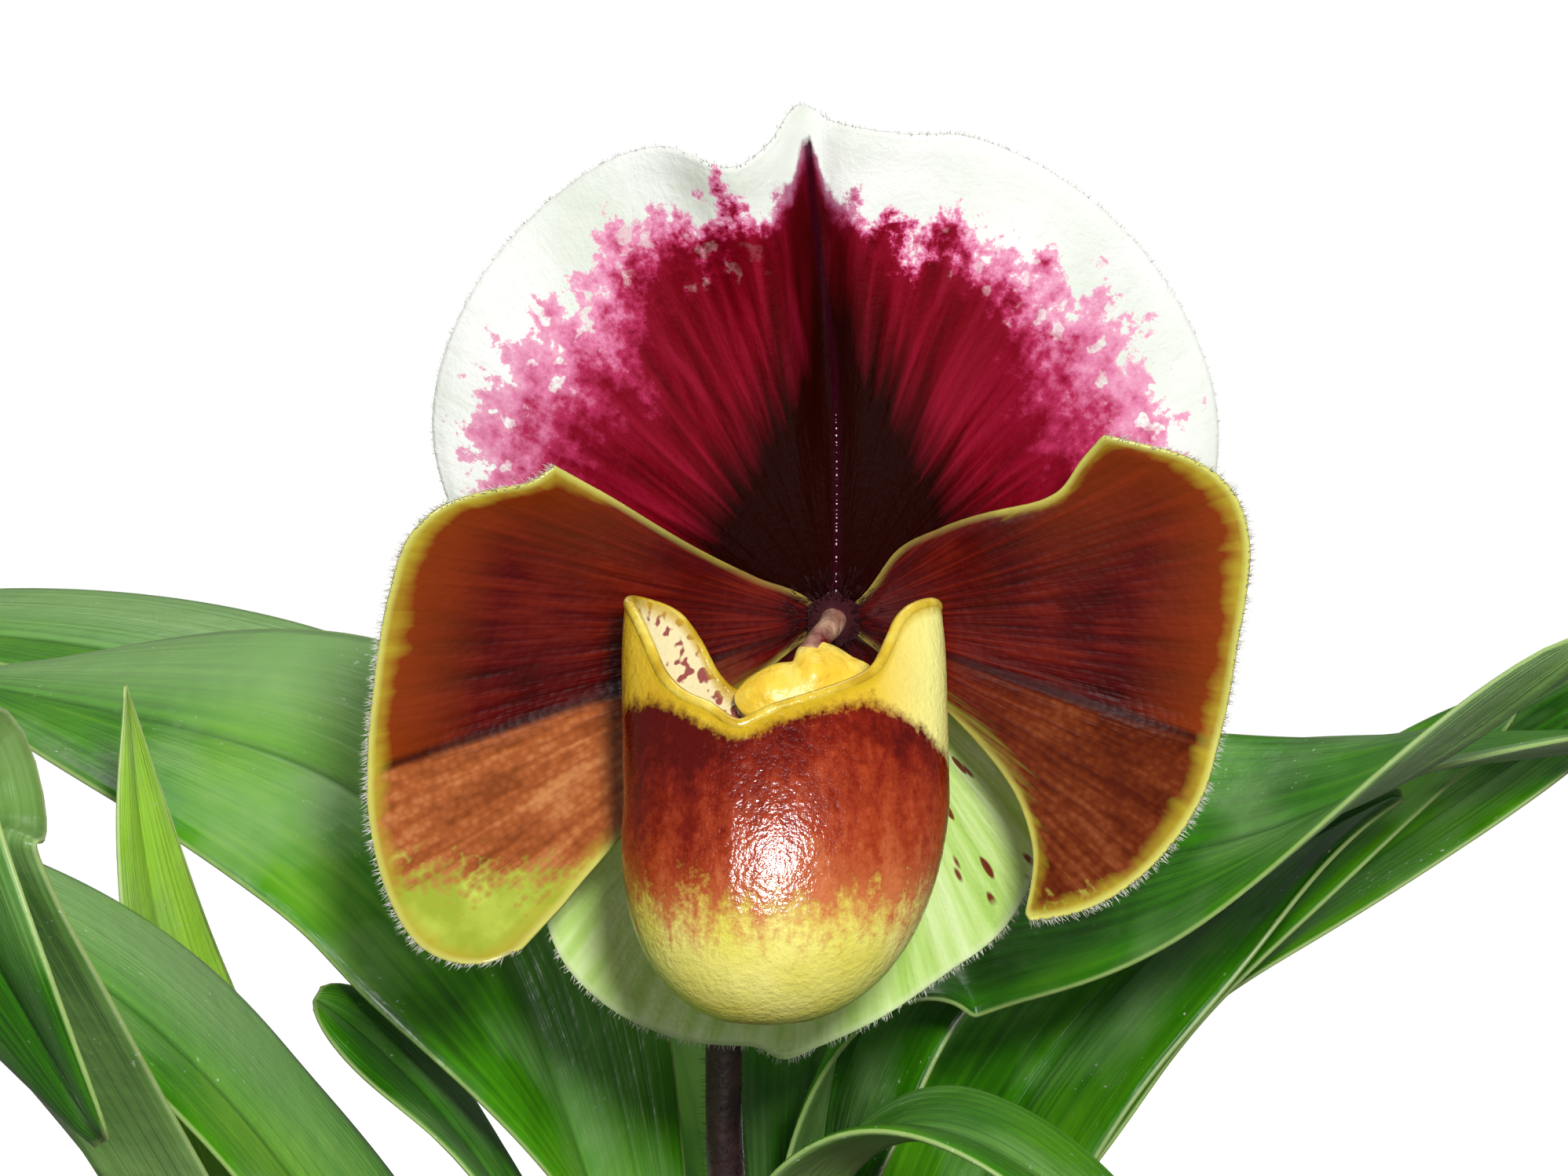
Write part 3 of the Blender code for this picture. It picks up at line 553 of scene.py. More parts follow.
def margin_hairs(name, place, spans, count, length, finish, seed):
    """Hairs that stand on a sheet's outer margin, between the shares of its width in spans."""
    draw = random.Random(seed)
    bm = bmesh.new()
    for _ in range(count):
        u = draw.uniform(*spans)
        root = place(u, 1.0)
        out = (root - place(u, 0.95)).normalized()
        face = (place(min(u + 0.01, 1), 0.98) - place(u, 0.98)).cross(out).normalized()
        add_hair(bm, root + face * draw.uniform(-0.35, 0.35) * MM, out, length, 0.055 * MM, draw, 0.45)
    return object_of(name, bm, finish)


def dip(at, middle, width):
    return math.exp(-(((at - middle) / width) ** 2))


DORSAL_MARGIN = (
    (-92, 30), (-82, 41), (-74, 46.5), (-63, 52.5), (-47, 56.7), (-28, 58.8), (-20, 57.6), (-13.4, 52.8),
    (-8, 54.6), (-3.8, 59.1), (0.5, 56.8), (8.3, 56), (15.6, 57.5), (30, 56.8), (46, 54.7), (61, 51.2),
    (74, 45.5), (82, 40), (92, 30),
)


def dorsal_depth(reach, turn, v):
    upright = math.cos(math.radians(turn)) ** 2
    lean = 2.6 + 10 * v - 15 * v * v * upright
    groove = 1.7 * math.exp(-((reach * math.sin(math.radians(turn + 1.5)) / 2.4) ** 2)) * eased(v * 2)
    pleats = 0.45 * math.sin(math.radians(turn * 9)) * v
    curl = 3.2 * dip(turn, -14, 6) * v**7 + 1.6 * dip(turn, 8, 5) * v**7
    return lean + groove + pleats - curl


# Where the flush ends, as mm out at degrees clockwise from upright. A dark tongue runs to the tip.
FLUSH = (
    (-92, 40), (-78, 42), (-66, 46.4), (-54, 50), (-46, 48.8), (-37, 47.5), (-32, 51.7), (-24, 52.6),
    (-21, 48.9), (-15, 49.5), (-10, 48), (-6.5, 49.5), (-3.4, 55.5), (-0.5, 49.5), (4, 48), (12, 45.3),
    (16, 48.2), (29, 48.9), (37, 47), (46, 47.4), (56, 47), (63, 45.2), (78, 41), (92, 38),
)
# The midrib's place across, and the dark heart's half width, at mm above the base.
MIDRIB = ((5, 0.3), (28, 0.3), (44, -2), (54, -3.1))
HEART = ((0, 21), (11, 15), (20, 10), (30, 5), (40, 2), (50, 0.4), (56, 0))


def dorsal_marks(reach, turn):
    across, up = reach * math.sin(math.radians(turn)), reach * math.cos(math.radians(turn))
    middle = across - through(MIDRIB, up)
    heart = abs(middle) - through(HEART, up)
    return {"flush": reach - through(FLUSH, turn), "middle": middle, "heart": heart}


def dorsal_finish():
    finish, node = new_finish("dorsal_sepal_tissue", IOR=1.4, Roughness=0.5, Specular_IOR_Level=0.03)
    reach, turn, flush, middle, heart = [
        node("Attribute", attribute_name=key, take="Fac")
        for key in ("reach", "turn", "flush", "middle", "heart")
    ]
    place = node("TexCoord", take="Object")
    # rays some 3 mm wide run out from the base, blotches of 4 mm and specks of 1 mm break up the flush's edge
    rays = node("TexNoise", drawn_out(node, turn, reach, 0.26, 0.05), Scale=1, Detail=4)
    blotches = node("TexNoise", place, Scale=270, Detail=2)
    specks = node("TexNoise", place, Scale=850, Detail=3, Roughness=0.7)
    shake = node("Math", rays, 13, node("Math", blotches, 14, operation="MULTIPLY"), operation="MULTIPLY_ADD")
    shake = node("Math", specks, 12, shake, operation="MULTIPLY_ADD")
    # the flush runs evenly up beside the midrib
    off = node("Math", middle, operation="ABSOLUTE")
    shake = node("Math", shake, 19.5, operation="SUBTRACT")
    over = node("Math", shake, node("MapRange", off, 1.5, 9, 0.15, 1.0), flush, operation="MULTIPLY_ADD")
    # the pink band is wide at the sides and narrow beside the midrib
    sideways = node("MapRange", node("Math", turn, operation="ABSOLUTE"), 10, 48)
    band = node("Math", sideways, 12, 3.2, operation="MULTIPLY_ADD")
    depth = node("Math", node("Math", over, -1, operation="MULTIPLY"), band, operation="DIVIDE")
    pinks = [(0.0, "#F0B0CA"), (0.34, "#DE7CA4"), (0.66, "#B22E58"), (1.0, "#860A26")]
    pink = node("ValToRGB", depth, stops=pinks)
    finer = drawn_out(node, turn, reach, 0.33, 0.05)
    fine_rays = node("TexNoise", finer, Scale=1, Detail=4, Distortion=0.5)
    crimson = node("ValToRGB", fine_rays, stops=[(0.34, "#5A000A"), (0.5, "#720314"), (0.66, "#880E28")])
    skin = node("Mix", node("MapRange", depth, 0.75, 1.5), A_Color=pink, B_Color=crimson)
    ragged_heart = node("Math", fine_rays, 9, heart, operation="MULTIPLY_ADD")
    dark = node("MapRange", ragged_heart, 2.0, 10.5, 1.0, 0.0)
    skin = node("Mix", dark, A_Color=skin, B_Color="#1E0200")
    # the crease of the midrib is a dark line, with a few painted highlights low down: pale dots for glints
    line = node("MapRange", off, 0.3, 0.8, 0.85, 0.0)
    skin = node("Mix", line, A_Color=skin, B_Color="#2C0210")
    dots = node("TexNoise", node("CombineXYZ", reach), Scale=2.6, Detail=1)
    dots = node("MapRange", dots, 0.55, 0.61)
    low = node("Math", dots, node("MapRange", reach, 25, 21), operation="MULTIPLY")
    painted_glint = node("Math", low, node("MapRange", off, 0.05, 0.11, 1, 0), operation="MULTIPLY")
    skin = node("Mix", painted_glint, A_Color=skin, B_Color="#E8E0E4")
    # pale islands in the pink, and pink specks out on the white
    islands = node("MapRange", node("TexNoise", place, Scale=430, Detail=2), 0.60, 0.64)
    near = node("Math", node("MapRange", over, -8, -3), sideways, operation="MULTIPLY")
    bare = node("Math", islands, near, operation="MULTIPLY")
    # the white greys a little in soft clouds: painted shade, standing in for the shade of its ripples
    cloud = node("TexNoise", place, Scale=60, Detail=3)
    white = node("Mix", node("MapRange", cloud, 0.35, 0.7), A_Color="#F8F9F5", B_Color="#DFE5D8")
    flushed = node("MapRange", over, -0.5, 0.5, 1.0, 0.0)
    flushed = node("Math", flushed, bare, operation="SUBTRACT", use_clamp=True)
    node("Mix", flushed, A_Color=white, B_Color=skin, to="Base Color")
    relief = node("Math", specks, 0.6, rays, operation="MULTIPLY_ADD")
    node("Bump", Height=relief, Distance=0.3 * MM, to="Normal")
    return finish


def sepal_back_finish(name, base, tip):
    finish, node = new_finish(name, IOR=1.4, Roughness=0.6, Subsurface_Weight=0.08)
    reach = node("Attribute", attribute_name="reach", take="Fac")
    turn = node("Attribute", attribute_name="turn", take="Fac")
    rays = node("TexNoise", drawn_out(node, turn, reach, 0.3, 0.05), Scale=1, Detail=4)
    out = node("Math", rays, 0.4, node("MapRange", reach, 5, 55), operation="MULTIPLY_ADD")
    node("ValToRGB", out, stops=[(0.25, base), (1.0, tip)], to="Base Color")
    node("Bump", Height=rays, Distance=0.4 * MM, to="Normal")
    return finish


dorsal_back = sepal_back_finish("dorsal_sepal_back", "#6E7A35", "#E6EADD")
dorsal_place, dorsal_polar = fan_place(
    ((4, -72), (30, -92)), ((4, 72), (30, 92)), DORSAL_MARGIN, dorsal_depth
)
sheet(
    "dorsal_hood", (180, 90), dorsal_place, 0.9 * MM, [dorsal_finish(), dorsal_back],
    fan_marks(dorsal_polar, dorsal_marks), "sepal_dorsal",
)
margin_hairs("dorsal_down", dorsal_place, (0.02, 0.98), 620, 0.5 * MM, white_hair, 31)


# The petals. Spread wide and folded a little along the midrib: a waxy, veined red-brown, dark above the
# midrib and tan below it, with an olive-yellow margin and stiff pale hairs along the edge.
PETAL_MIDRIB_TURN = 108


def petal_depth(reach, turn, v):
    off = abs(turn) - PETAL_MIDRIB_TURN
    across = reach * math.sin(math.radians(off))
    fold = (0.24 if off < 0 else 0.32) * (math.hypot(across, 2) - 2)
    ripple = 0.35 * math.sin(math.radians(turn * 11)) * v**6
    return -0.8 - 0.10 * (reach - 4) - fold * eased(reach / 22) - 2.2 * v**9 + ripple


def petal_marks(reach, turn):
    off = math.radians(abs(turn) - PETAL_MIDRIB_TURN)
    return {"across": reach * math.sin(off), "down": -reach * math.cos(math.radians(turn))}


def petal_finish(name, lower, lime_from, lime_to):
    """lower is the lower lobe's dark, middle and light, and lime_from and lime_to are the mm below the base
    between which it goes lime."""
    finish, node = new_finish(name, IOR=1.45, Specular_IOR_Level=0.06, Coat_Roughness=0.16)
    reach, turn, edge, across, down = [
        node("Attribute", attribute_name=key, take="Fac")
        for key in ("reach", "turn", "edge", "across", "down")
    ]
    place = node("TexCoord", take="Object")
    # veins about 1.8 degrees apart run out from the base over a net of cells of a millimetre
    veins = node("TexNoise", drawn_out(node, turn, reach, 0.55, 0.06), Scale=1, Detail=3)
    net = node("TexVoronoi", place, Scale=1100)
    cloud = node("TexNoise", place, Scale=110, Detail=4)
    tone = node("Math", cloud, 0.45, operation="MULTIPLY")
    tone = node("Math", veins, 0.55, tone, operation="MULTIPLY_ADD")
    pebbled = node("Math", net, -0.16, node("Math", tone, 0.07, operation="ADD"), operation="MULTIPLY_ADD")
    upper = node("ValToRGB", tone, stops=[(0.36, "#340101"), (0.5, "#500302"), (0.66, "#741A08")])
    russet = node("MapRange", edge, 1, 13, 0.95, 0.0)
    russet = node("Math", russet, node("MapRange", reach, 20, 44), operation="MULTIPLY")
    upper = node("Mix", russet, A_Color=upper, B_Color="#8E3A0C")
    rose = node("ValToRGB", pebbled, stops=[(0.36, lower[0]), (0.5, lower[1]), (0.66, lower[2])])
    # the two lobes meet in a ragged line just below the midrib
    below = node("MapRange", node("Math", cloud, 2.5, across, operation="MULTIPLY_ADD"), 0.9, 2.1)
    below = node("Math", below, node("MapRange", reach, 10, 30), operation="MULTIPLY")
    skin = node("Mix", below, A_Color=upper, B_Color=rose)
    ridge = node("MapRange", node("Math", across, operation="ABSOLUTE"), 0.15, 0.9, 0.8, 0.0)
    skin = node("Mix", ridge, A_Color=skin, B_Color="#2A0302")
    # the lime creeps up the lower lobe in mottles
    mottle = node("Math", net, 5, down, operation="MULTIPLY_ADD")
    mottle = node("Math", veins, 9, mottle, operation="MULTIPLY_ADD")
    lime = node("Mix", node("MapRange", cloud, 0.4, 0.62), A_Color="#D4E262", B_Color="#A2B238")
    limed = node("MapRange", mottle, lime_from + 7, lime_to + 7)
    skin = node("Mix", limed, A_Color=skin, B_Color=lime)
    # the lower edge near the base is lime too, in streaks
    fray = node("Math", veins, 9, edge, operation="MULTIPLY_ADD")
    frayed = node("MapRange", fray, 4.4, 6.4, 0.6, 0.0)
    frayed = node("Math", frayed, node("MapRange", reach, 36, 29), operation="MULTIPLY")
    frayed = node("Math", frayed, node("MapRange", across, 2, 4), operation="MULTIPLY")
    skin = node("Mix", frayed, A_Color=skin, B_Color="#8C8A2C")
    # the olive rim narrows to a gold line towards the base
    shaken = node("Math", cloud, 5.4, edge, operation="MULTIPLY_ADD")
    shaken = node("Math", veins, 2.6, shaken, operation="MULTIPLY_ADD")
    shaken = node("Math", shaken, node("MapRange", reach, 24, 44, 2.4, 0.0), operation="ADD")
    olive = node("MapRange", shaken, 4.4, 6.8, 1.0, 0.0)
    skin = node("Mix", olive, A_Color=skin, B_Color="#B4A02A")
    rim = node("MapRange", edge, 0.2, 0.9, 0.9, 0.0)
    rim = node("Math", rim, node("MapRange", reach, 16, 38, 0.25, 1.0), operation="MULTIPLY")
    node("Mix", rim, A_Color=skin, B_Color="#D2D06C", to="Base Color")
    # the groove along the midrib is matt
    node("MapRange", node("Math", across, operation="ABSOLUTE"), 1.5, 5, 0.0, 0.4, to="Coat Weight")
    node("MapRange", cloud, 0.3, 0.7, 0.34, 0.48, to="Roughness")
    relief = node("Math", net, -0.3, veins, operation="MULTIPLY_ADD")
    node("Bump", Height=relief, Distance=0.18 * MM, to="Normal")
    return finish


# Each petal's two edges and its margin, as fan_place takes them, the lower lobe's colours, where that goes
# lime, and the seed of its hairs.
PETALS = {
    "left": (
        ((4, -125), (26, -134), (44, -136.3)),
        ((4, -50), (10, -61), (30, -61)),
        (
            (-136.5, 50), (-134, 55), (-129, 58.6), (-123, 59), (-113, 57), (-106, 54.8), (-98, 52.4),
            (-86, 50), (-79.5, 48.8), (-74, 46), (-70, 42), (-66, 37.8), (-61.5, 36),
        ),
        ("#84421A", "#A85A2C", "#C8844E"), (27, 32), 41,
    ),
    "right": (
        ((4, 50), (10, 42), (16, 49), (25, 58.5), (29, 60), (33, 57), (36, 55.5)),
        ((4, 125), (26, 132.5), (34, 139), (39, 147)),
        (
            (55.5, 36.5), (60, 39.5), (66, 44), (72, 46.8), (79, 47.3), (87, 46.2), (94, 45.4),
            (107, 45.6), (115, 46), (124, 45.4), (133, 44.2), (140, 42.5), (148, 39.5),
        ),
        ("#501804", "#6A2A0C", "#8A4824"), (31.5, 35), 42,
    ),
}
petal_back = sepal_back_finish("petal_back", "#5C3A1C", "#8C8436")
for side, (first_edge, last_edge, margin, lower, lime, seed) in PETALS.items():
    petal_place, petal_polar = fan_place(first_edge, last_edge, margin, petal_depth)
    petal_skin = petal_finish(f"waxy_petal_{side}", lower, *lime)
    sheet(
        f"petal_on_{side}", (120, 90), petal_place, 1.0 * MM, [petal_skin, petal_back],
        fan_marks(petal_polar, petal_marks), f"petal_{side}",
    )
    margin_hairs(f"petal_hairs_{side}", petal_place, (0.0, 1.0), 620, 1.0 * MM, white_hair, seed)


# The lower sepal. Two sepals grown into one pale lime boat behind the lip, with green veins and, on its
# right, chocolate spots.
SYNSEPAL_MARGIN = (
    (125, 30), (138, 36), (151, 41), (163, 43.4), (175, 47.3), (182, 49.8), (186.5, 51.6), (190, 50.6),
    (200, 52), (212, 51.8), (222, 49), (235, 40),
)


def synsepal_depth(reach, turn, v):
    bow = 2.6 + 9 * math.sin(math.pi * 0.62 * v) - 3.5 * v**3
    return bow - 0.10 * reach * math.sin(math.radians(turn)) ** 2 + 0.3 * math.sin(math.radians(turn * 8)) * v


def synsepal_finish():
    finish, node = new_finish(
        "lower_sepal_tissue", IOR=1.4, Roughness=0.5, Specular_IOR_Level=0.2, Subsurface_Weight=0.08
    )
    reach, turn, edge = [
        node("Attribute", attribute_name=key, take="Fac") for key in ("reach", "turn", "edge")
    ]
    place = node("TexCoord", take="Object")
    rays = node("TexNoise", drawn_out(node, turn, reach, 0.34, 0.04), Scale=1, Detail=3)
    lime = node("ValToRGB", rays, stops=[(0.35, "#B2D868"), (0.52, "#CCE88A"), (0.68, "#E0F4AE")])
    # spots of some 2 by 4 mm stand in rows between the veins, on the viewer's right
    cells = node("TexVoronoi", drawn_out(node, turn, reach, 0.34, 0.17), Scale=1.0, Randomness=0.85)
    spots = node("Math", rays, 0.3, cells, operation="MULTIPLY_ADD")
    spots = node("MapRange", spots, 0.38, 0.44, 1.0, 0.0)
    here = node("MapRange", turn, 156, 154)
    here = node("Math", here, node("MapRange", reach, 38.5, 37.5), operation="MULTIPLY")
    spotted = node("Math", spots, here, operation="MULTIPLY")
    lime = node("Mix", spotted, A_Color=lime, B_Color="#6E2A10")
    base = node("MapRange", reach, 8, 13, 1.0, 0.0)
    lime = node("Mix", base, A_Color=lime, B_Color="#44060E")
    rim = node("MapRange", edge, 0.2, 1.0, 0.6, 0.0)
    node("Mix", rim, A_Color=lime, B_Color="#E4F2BC", to="Base Color")
    relief = node("Math", node("TexNoise", place, Scale=800), 0.5, rays, operation="MULTIPLY_ADD")
    node("Bump", Height=relief, Distance=0.4 * MM, to="Normal")
    return finish


lower_back = sepal_back_finish("lower_sepal_back", "#7C9A3A", "#B4C86E")
lower_place, lower_polar = fan_place(
    ((4, 115), (30, 121)), ((4, 244), (40, 238)), SYNSEPAL_MARGIN, synsepal_depth
)
sheet(
    "lower_sepal_boat", (110, 70), lower_place, 0.9 * MM, [synsepal_finish(), lower_back],
    fan_marks(lower_polar), "sepal_lower",
)
margin_hairs("lower_sepal_hairs", lower_place, (0.0, 1.0), 520, 0.8 * MM, white_hair, 43)


# The lip. A waxy slipper with a thick, rolled yellow rim and ears: red-brown in upright streaks over yellow,
# with a yellow-green toe. Inside it is yellow with crimson specks. It carries the bloom's sharpest gloss.
# The rim's height above the bloom's middle, at degrees round the pouch from its front.
LIP_RIM = (
    (-180, -7.5), (-165, -8.6), (-156, -6.5), (-148, -2.4), (-138, 0.6), (-120, 2), (-98, 2.4), (-82, 1.9),
    (-68, 0.4), (-57, -2.4), (-48, -5.8), (-38, -8), (-26, -9.4), (-19, -10.8), (-14, -11.3), (-9, -10.6),
    (0, -9.2), (14, -7.7), (27, -6.2), (34, -4.8), (40, -2.2), (46, 0.2), (54, 1.5), (66, 2.1), (80, 2.1),
    (94, 1.4), (112, -0.6), (130, -3.6), (148, -6.6), (160, -8), (180, -7.5),
)
# The heights of its toe and of where it is widest and deepest, its front and back, its middle and half width,
# and the claw at its back, where the rim runs in to the bloom's middle.
LIP_TOE, LIP_WIDEST, LIP_DEEPEST = -44.6, -20, -30
LIP_FRONT, LIP_BACK = -32.8, -7.6
LIP_MIDDLE, LIP_HALF_WIDTH = -5.4, 18
LIP_CLAW = Vector((0.4, -3.2, -4.9))
LIP_CLAW_TURN = 166


def power(value, exponent):
    return math.copysign(abs(value) ** exponent, value)


def closing(height, widest):
    """How wide the pouch still is at a height below its widest: 1 there, and 0 at the toe."""
    down = min(1.0, max(0.0, (widest - height) / (widest - LIP_TOE)))
    return (1 - down**2.25) ** (1 / 2.25)


def lip_spot(u, v):
    """The pouch's outer skin in the bloom's frame: u goes round it, and v from the toe to the rim. Its horns
    taper less than the solid's, and its keel is lower."""
    turn = 360 * u - 180
    angle = math.radians(turn)
    rim = through(LIP_RIM, turn)
    height = LIP_TOE + (rim - LIP_TOE) * (1 - (1 - v) ** 1.35)
    share = closing(height, LIP_WIDEST)
    down = max(0.0, (LIP_WIDEST - height) / (LIP_WIDEST - LIP_TOE))
    above = max(0.0, height - LIP_WIDEST)
    half_width = LIP_HALF_WIDTH * share * (1 - 0.0004 * max(0.0, above - 14) ** 2)
    middle = LIP_MIDDLE - 2.2 * down - 0.02 * above
    x = middle + half_width * power(math.sin(angle), 0.9)
    front = LIP_FRONT + 0.008 * max(0.0, height - LIP_DEEPEST) ** 2
    half_depth = (LIP_BACK - front) / 2 * closing(height, LIP_DEEPEST)
    y = (LIP_BACK + front) / 2 - half_depth * power(math.cos(angle), 0.9)
    y -= 0.12 * dip(turn, -17, 3) * share
    spot = Vector((x, y, height))
    claw = max(dip(turn, LIP_CLAW_TURN, 11), dip(turn + 360, LIP_CLAW_TURN, 11)) * eased((v - 0.72) / 0.28)
    return spot.lerp(LIP_CLAW, claw * 0.97)


# Where the red-brown begins below the rim, in the same way.
BLUSH_TOP = (
    (-180, -9), (-70, -8.4), (-43, -8.4), (-16, -11.4), (0, -9.8), (28, -8), (60, -12.2), (85, -15),
    (180, -12),
)


def lip_finish(name, inside):
    finish, node = new_finish(name, IOR=1.47, Specular_IOR_Level=0.08, Coat_Weight=0.6, Coat_Roughness=0.09)
    height, below, side, edge = [
        node("Attribute", attribute_name=key, take="Fac") for key in ("height", "below", "side", "edge")
    ]
    place = node("TexCoord", take="Object")
    # streaks some 2.5 mm wide and four times as tall, over specks of a millimetre
    tall = node("Mapping", place, Scale=(1, 1, 0.25))
    streaks = node("TexNoise", tall, Scale=400, Detail=4, Roughness=0.65)
    specks = node("TexNoise", place, Scale=900, Detail=3, Roughness=0.75)
    cloud = node("TexNoise", place, Scale=110, Detail=3)
    if inside:
        dots = node("MapRange", node("TexNoise", place, Scale=760, Detail=1), 0.54, 0.6, 0.0, 0.9)
        skin = node("Mix", dots, A_Color="#F4E6B4", B_Color="#8E1434")
    else:
        gold = node("Mix", node("MapRange", cloud, 0.4, 0.65), A_Color="#E2BE34", B_Color="#CFA41E")
        gold = node("Mix", node("MapRange", side, 4, 11), A_Color=gold, B_Color="#F8F294")
        toe = node("Mix", node("MapRange", cloud, 0.35, 0.65), A_Color="#F6EC86", B_Color="#E6DC60")
        low = node("MapRange", height, -34, -22)
        yellow = node("Mix", low, A_Color=toe, B_Color=gold)
        # the blush pales to the toe; painted shade darkens it left of the crease, the side turned from the
        # light
        rise = node("MapRange", height, -33, -12, 0.36, -0.14)
        rise = node("Math", rise, node("MapRange", side, -16, -4, -0.10, 0.04), operation="ADD")
        tone = node("Math", specks, 0.4, rise, operation="MULTIPLY_ADD")
        tone = node("Math", streaks, 0.6, tone, operation="MULTIPLY_ADD")
        browns = [(0.3, "#560802"), (0.46, "#7C1A06"), (0.64, "#A43C1A"), (0.9, "#CA7040")]
        red = node("ValToRGB", tone, stops=browns)
        shake = node("Math", specks, 14, operation="MULTIPLY")
        shake = node("Math", streaks, 14, shake, operation="MULTIPLY_ADD")
        foot = node("MapRange", node("Math", height, shake, operation="ADD"), -35 + 14, -28.5 + 14)
        top = node("MapRange", node("Math", shake, -0.22, below, operation="MULTIPLY_ADD"), -3.4, -1.6)
        blushed = node("Math", foot, top, operation="MULTIPLY")
        skin = node("Mix", blushed, A_Color=yellow, B_Color=red)
    rim = node("MapRange", edge, 0.5, 1.8, 0.8, 0.0)
    node("Mix", rim, A_Color=skin, B_Color="#C8A41A", to="Base Color")
    node("MapRange", specks, 0.35, 0.65, 0.22, 0.34, to="Roughness")
    # a grain of about a millimetre breaks up the gloss
    grain = node("TexNoise", place, Scale=1500, Detail=2)
    relief = node("Math", streaks, specks, operation="ADD")
    relief = node("Math", grain, 0.8, relief, operation="MULTIPLY_ADD")
    node("Bump", Height=relief, Distance=0.16 * MM, to="Normal")
    node("Bump", Height=relief, Distance=0.07 * MM, to="Coat Normal")
    return finish


def make_lip():
    bm = bmesh.new()
    bmesh.ops.create_grid(bm, x_segments=180, y_segments=90, size=0.5)
    layers = {key: bm.verts.layers.float.new(key) for key in ("height", "below", "side", "edge")}
    for corner in bm.verts:
        u, v = corner.co.x + 0.5, corner.co.y + 0.5
        spot = lip_spot(u, v)
        corner.co = bloom_spot(*spot)
        corner[layers["height"]] = spot.z
        corner[layers["below"]] = through(BLUSH_TOP, 360 * u - 180) - spot.z
        corner[layers["side"]] = spot.x
        corner[layers["edge"]] = (lip_spot(u, 1.0) - spot).length
    bmesh.ops.remove_doubles(bm, verts=bm.verts[:], dist=0.005 * MM)
    bmesh.ops.recalc_face_normals(bm, faces=bm.faces[:])
    skins = [lip_finish("waxy_lip", inside=False), lip_finish("waxy_lip_inside", inside=True)]
    pouch = object_of("lip_slipper", bm, skins, "lip_pouch")
    wall = pouch.modifiers.new("wall", "SOLIDIFY")
    wall.thickness = 1.1 * MM
    wall.offset = -1
    wall.material_offset = 1
    # the rolled rim is a bead along the pouch's edge
    rim = [bloom_spot(*lip_spot(i / 180, 1.0)) for i in range(180)]
    bead = bpy.data.curves.new("lip_rim", "CURVE")
    bead.dimensions = "3D"
    bead.bevel_depth = 0.66 * MM
    bead.bevel_resolution = 5
    line = bead.splines.new("POLY")
    line.points.add(len(rim) - 1)
    line.use_cyclic_u = True
    centre = bloom_spot(LIP_MIDDLE, -19, -6)
    for point, spot in zip(line.points, rim):
        inward = (centre - spot).normalized() * 0.5 * MM
        point.co = (*(spot + inward), 1)
    return bead


def rim_finish():
    finish, node = new_finish("waxy_rim", IOR=1.47, Coat_Weight=0.5, Coat_Roughness=0.15, Roughness=0.3)
    place = node("TexCoord", take="Object")
    golds = [(0.35, "#C09A18"), (0.5, "#DCBC34"), (0.68, "#F0DC6C")]
    node("ValToRGB", node("TexNoise", place, Scale=240, Detail=4), stops=golds, to="Base Color")
    node("Bump", Height=node("TexNoise", place, Scale=700, Detail=3), Distance=0.3 * MM, to="Normal")
    return finish


rim_yellow = rim_finish()
bead = make_lip()
holder = new_object("lip_rim_line", bead)
bpy.context.view_layer.update()
rim_mesh = bpy.data.meshes.new_from_object(holder.evaluated_get(bpy.context.evaluated_depsgraph_get()))
bpy.data.objects.remove(holder)
bm = bmesh.new()
bm.from_mesh(rim_mesh)
bmesh.ops.remove_doubles(bm, verts=bm.verts[:], dist=0.005 * MM)
bmesh.ops.recalc_face_normals(bm, faces=bm.faces[:])
object_of("lip_rim_roll", bm, rim_yellow)


# The column. A short stalk that ends in a wet-looking, lobed orange-yellow shield with a boss in its middle,
# half across the slipper's mouth, with dark hairs round its root.
def column_finish(name, tones, along=1.0):
    finish, node = new_finish(name, IOR=1.48, Coat_Weight=0.25, Coat_Roughness=0.25, Roughness=0.35)
    place = node("TexCoord", take="Object")
    drawn = node("Mapping", place, Scale=(1, along, 1))
    node("ValToRGB", node("TexNoise", drawn, Scale=260, Detail=4), stops=tones, to="Base Color")
    # the shield is grained like orange peel, at about 2 mm
    node("Bump", Height=node("TexNoise", place, Scale=480, Detail=3), Distance=0.6 * MM, to="Normal")
    return finish


shield_yellow = column_finish("waxy_shield", [(0.3, "#F6C634"), (0.5, "#FFDA48"), (0.7, "#FFEC7C")])
ribbed_stem(
    "column_stalk", ((0, -26.2, 245.3), (-0.5, -28.6, 244.8), (-1.8, -32.4, 244), (-2.8, -35.2, 242.6)),
    (1.5, 1.4, 1.35, 1.5), 0.0, column_finish("streaked_stalk", [(0.4, "#6A0C1C"), (0.62, "#E0B89A")], 0.3),
    "column",
)


# The shield's outline, as mm out from its middle at degrees clockwise from up, its bosses, each by its place
# across and up and its height, then its middle in the bloom's frame and its lean.
SHIELD_OUTLINE = (
    (-180, 5.2), (-140, 6.2), (-100, 8.2), (-86, 7.2), (-71, 5.6), (-50, 4.2), (-28, 3.3), (-12, 4.6),
    (4, 5.5), (31, 5.8), (56, 6.4), (72, 7.8), (100, 7.2), (140, 5.8), (180, 5.2),
)
SHIELD_BOSSES = ((1.2, 1.6, 1.3), (-5.0, -0.6, 0.9))
SHIELD_MIDDLE = Vector((-3.2, -12.4, -7.2))
SHIELD_LEAN = 20


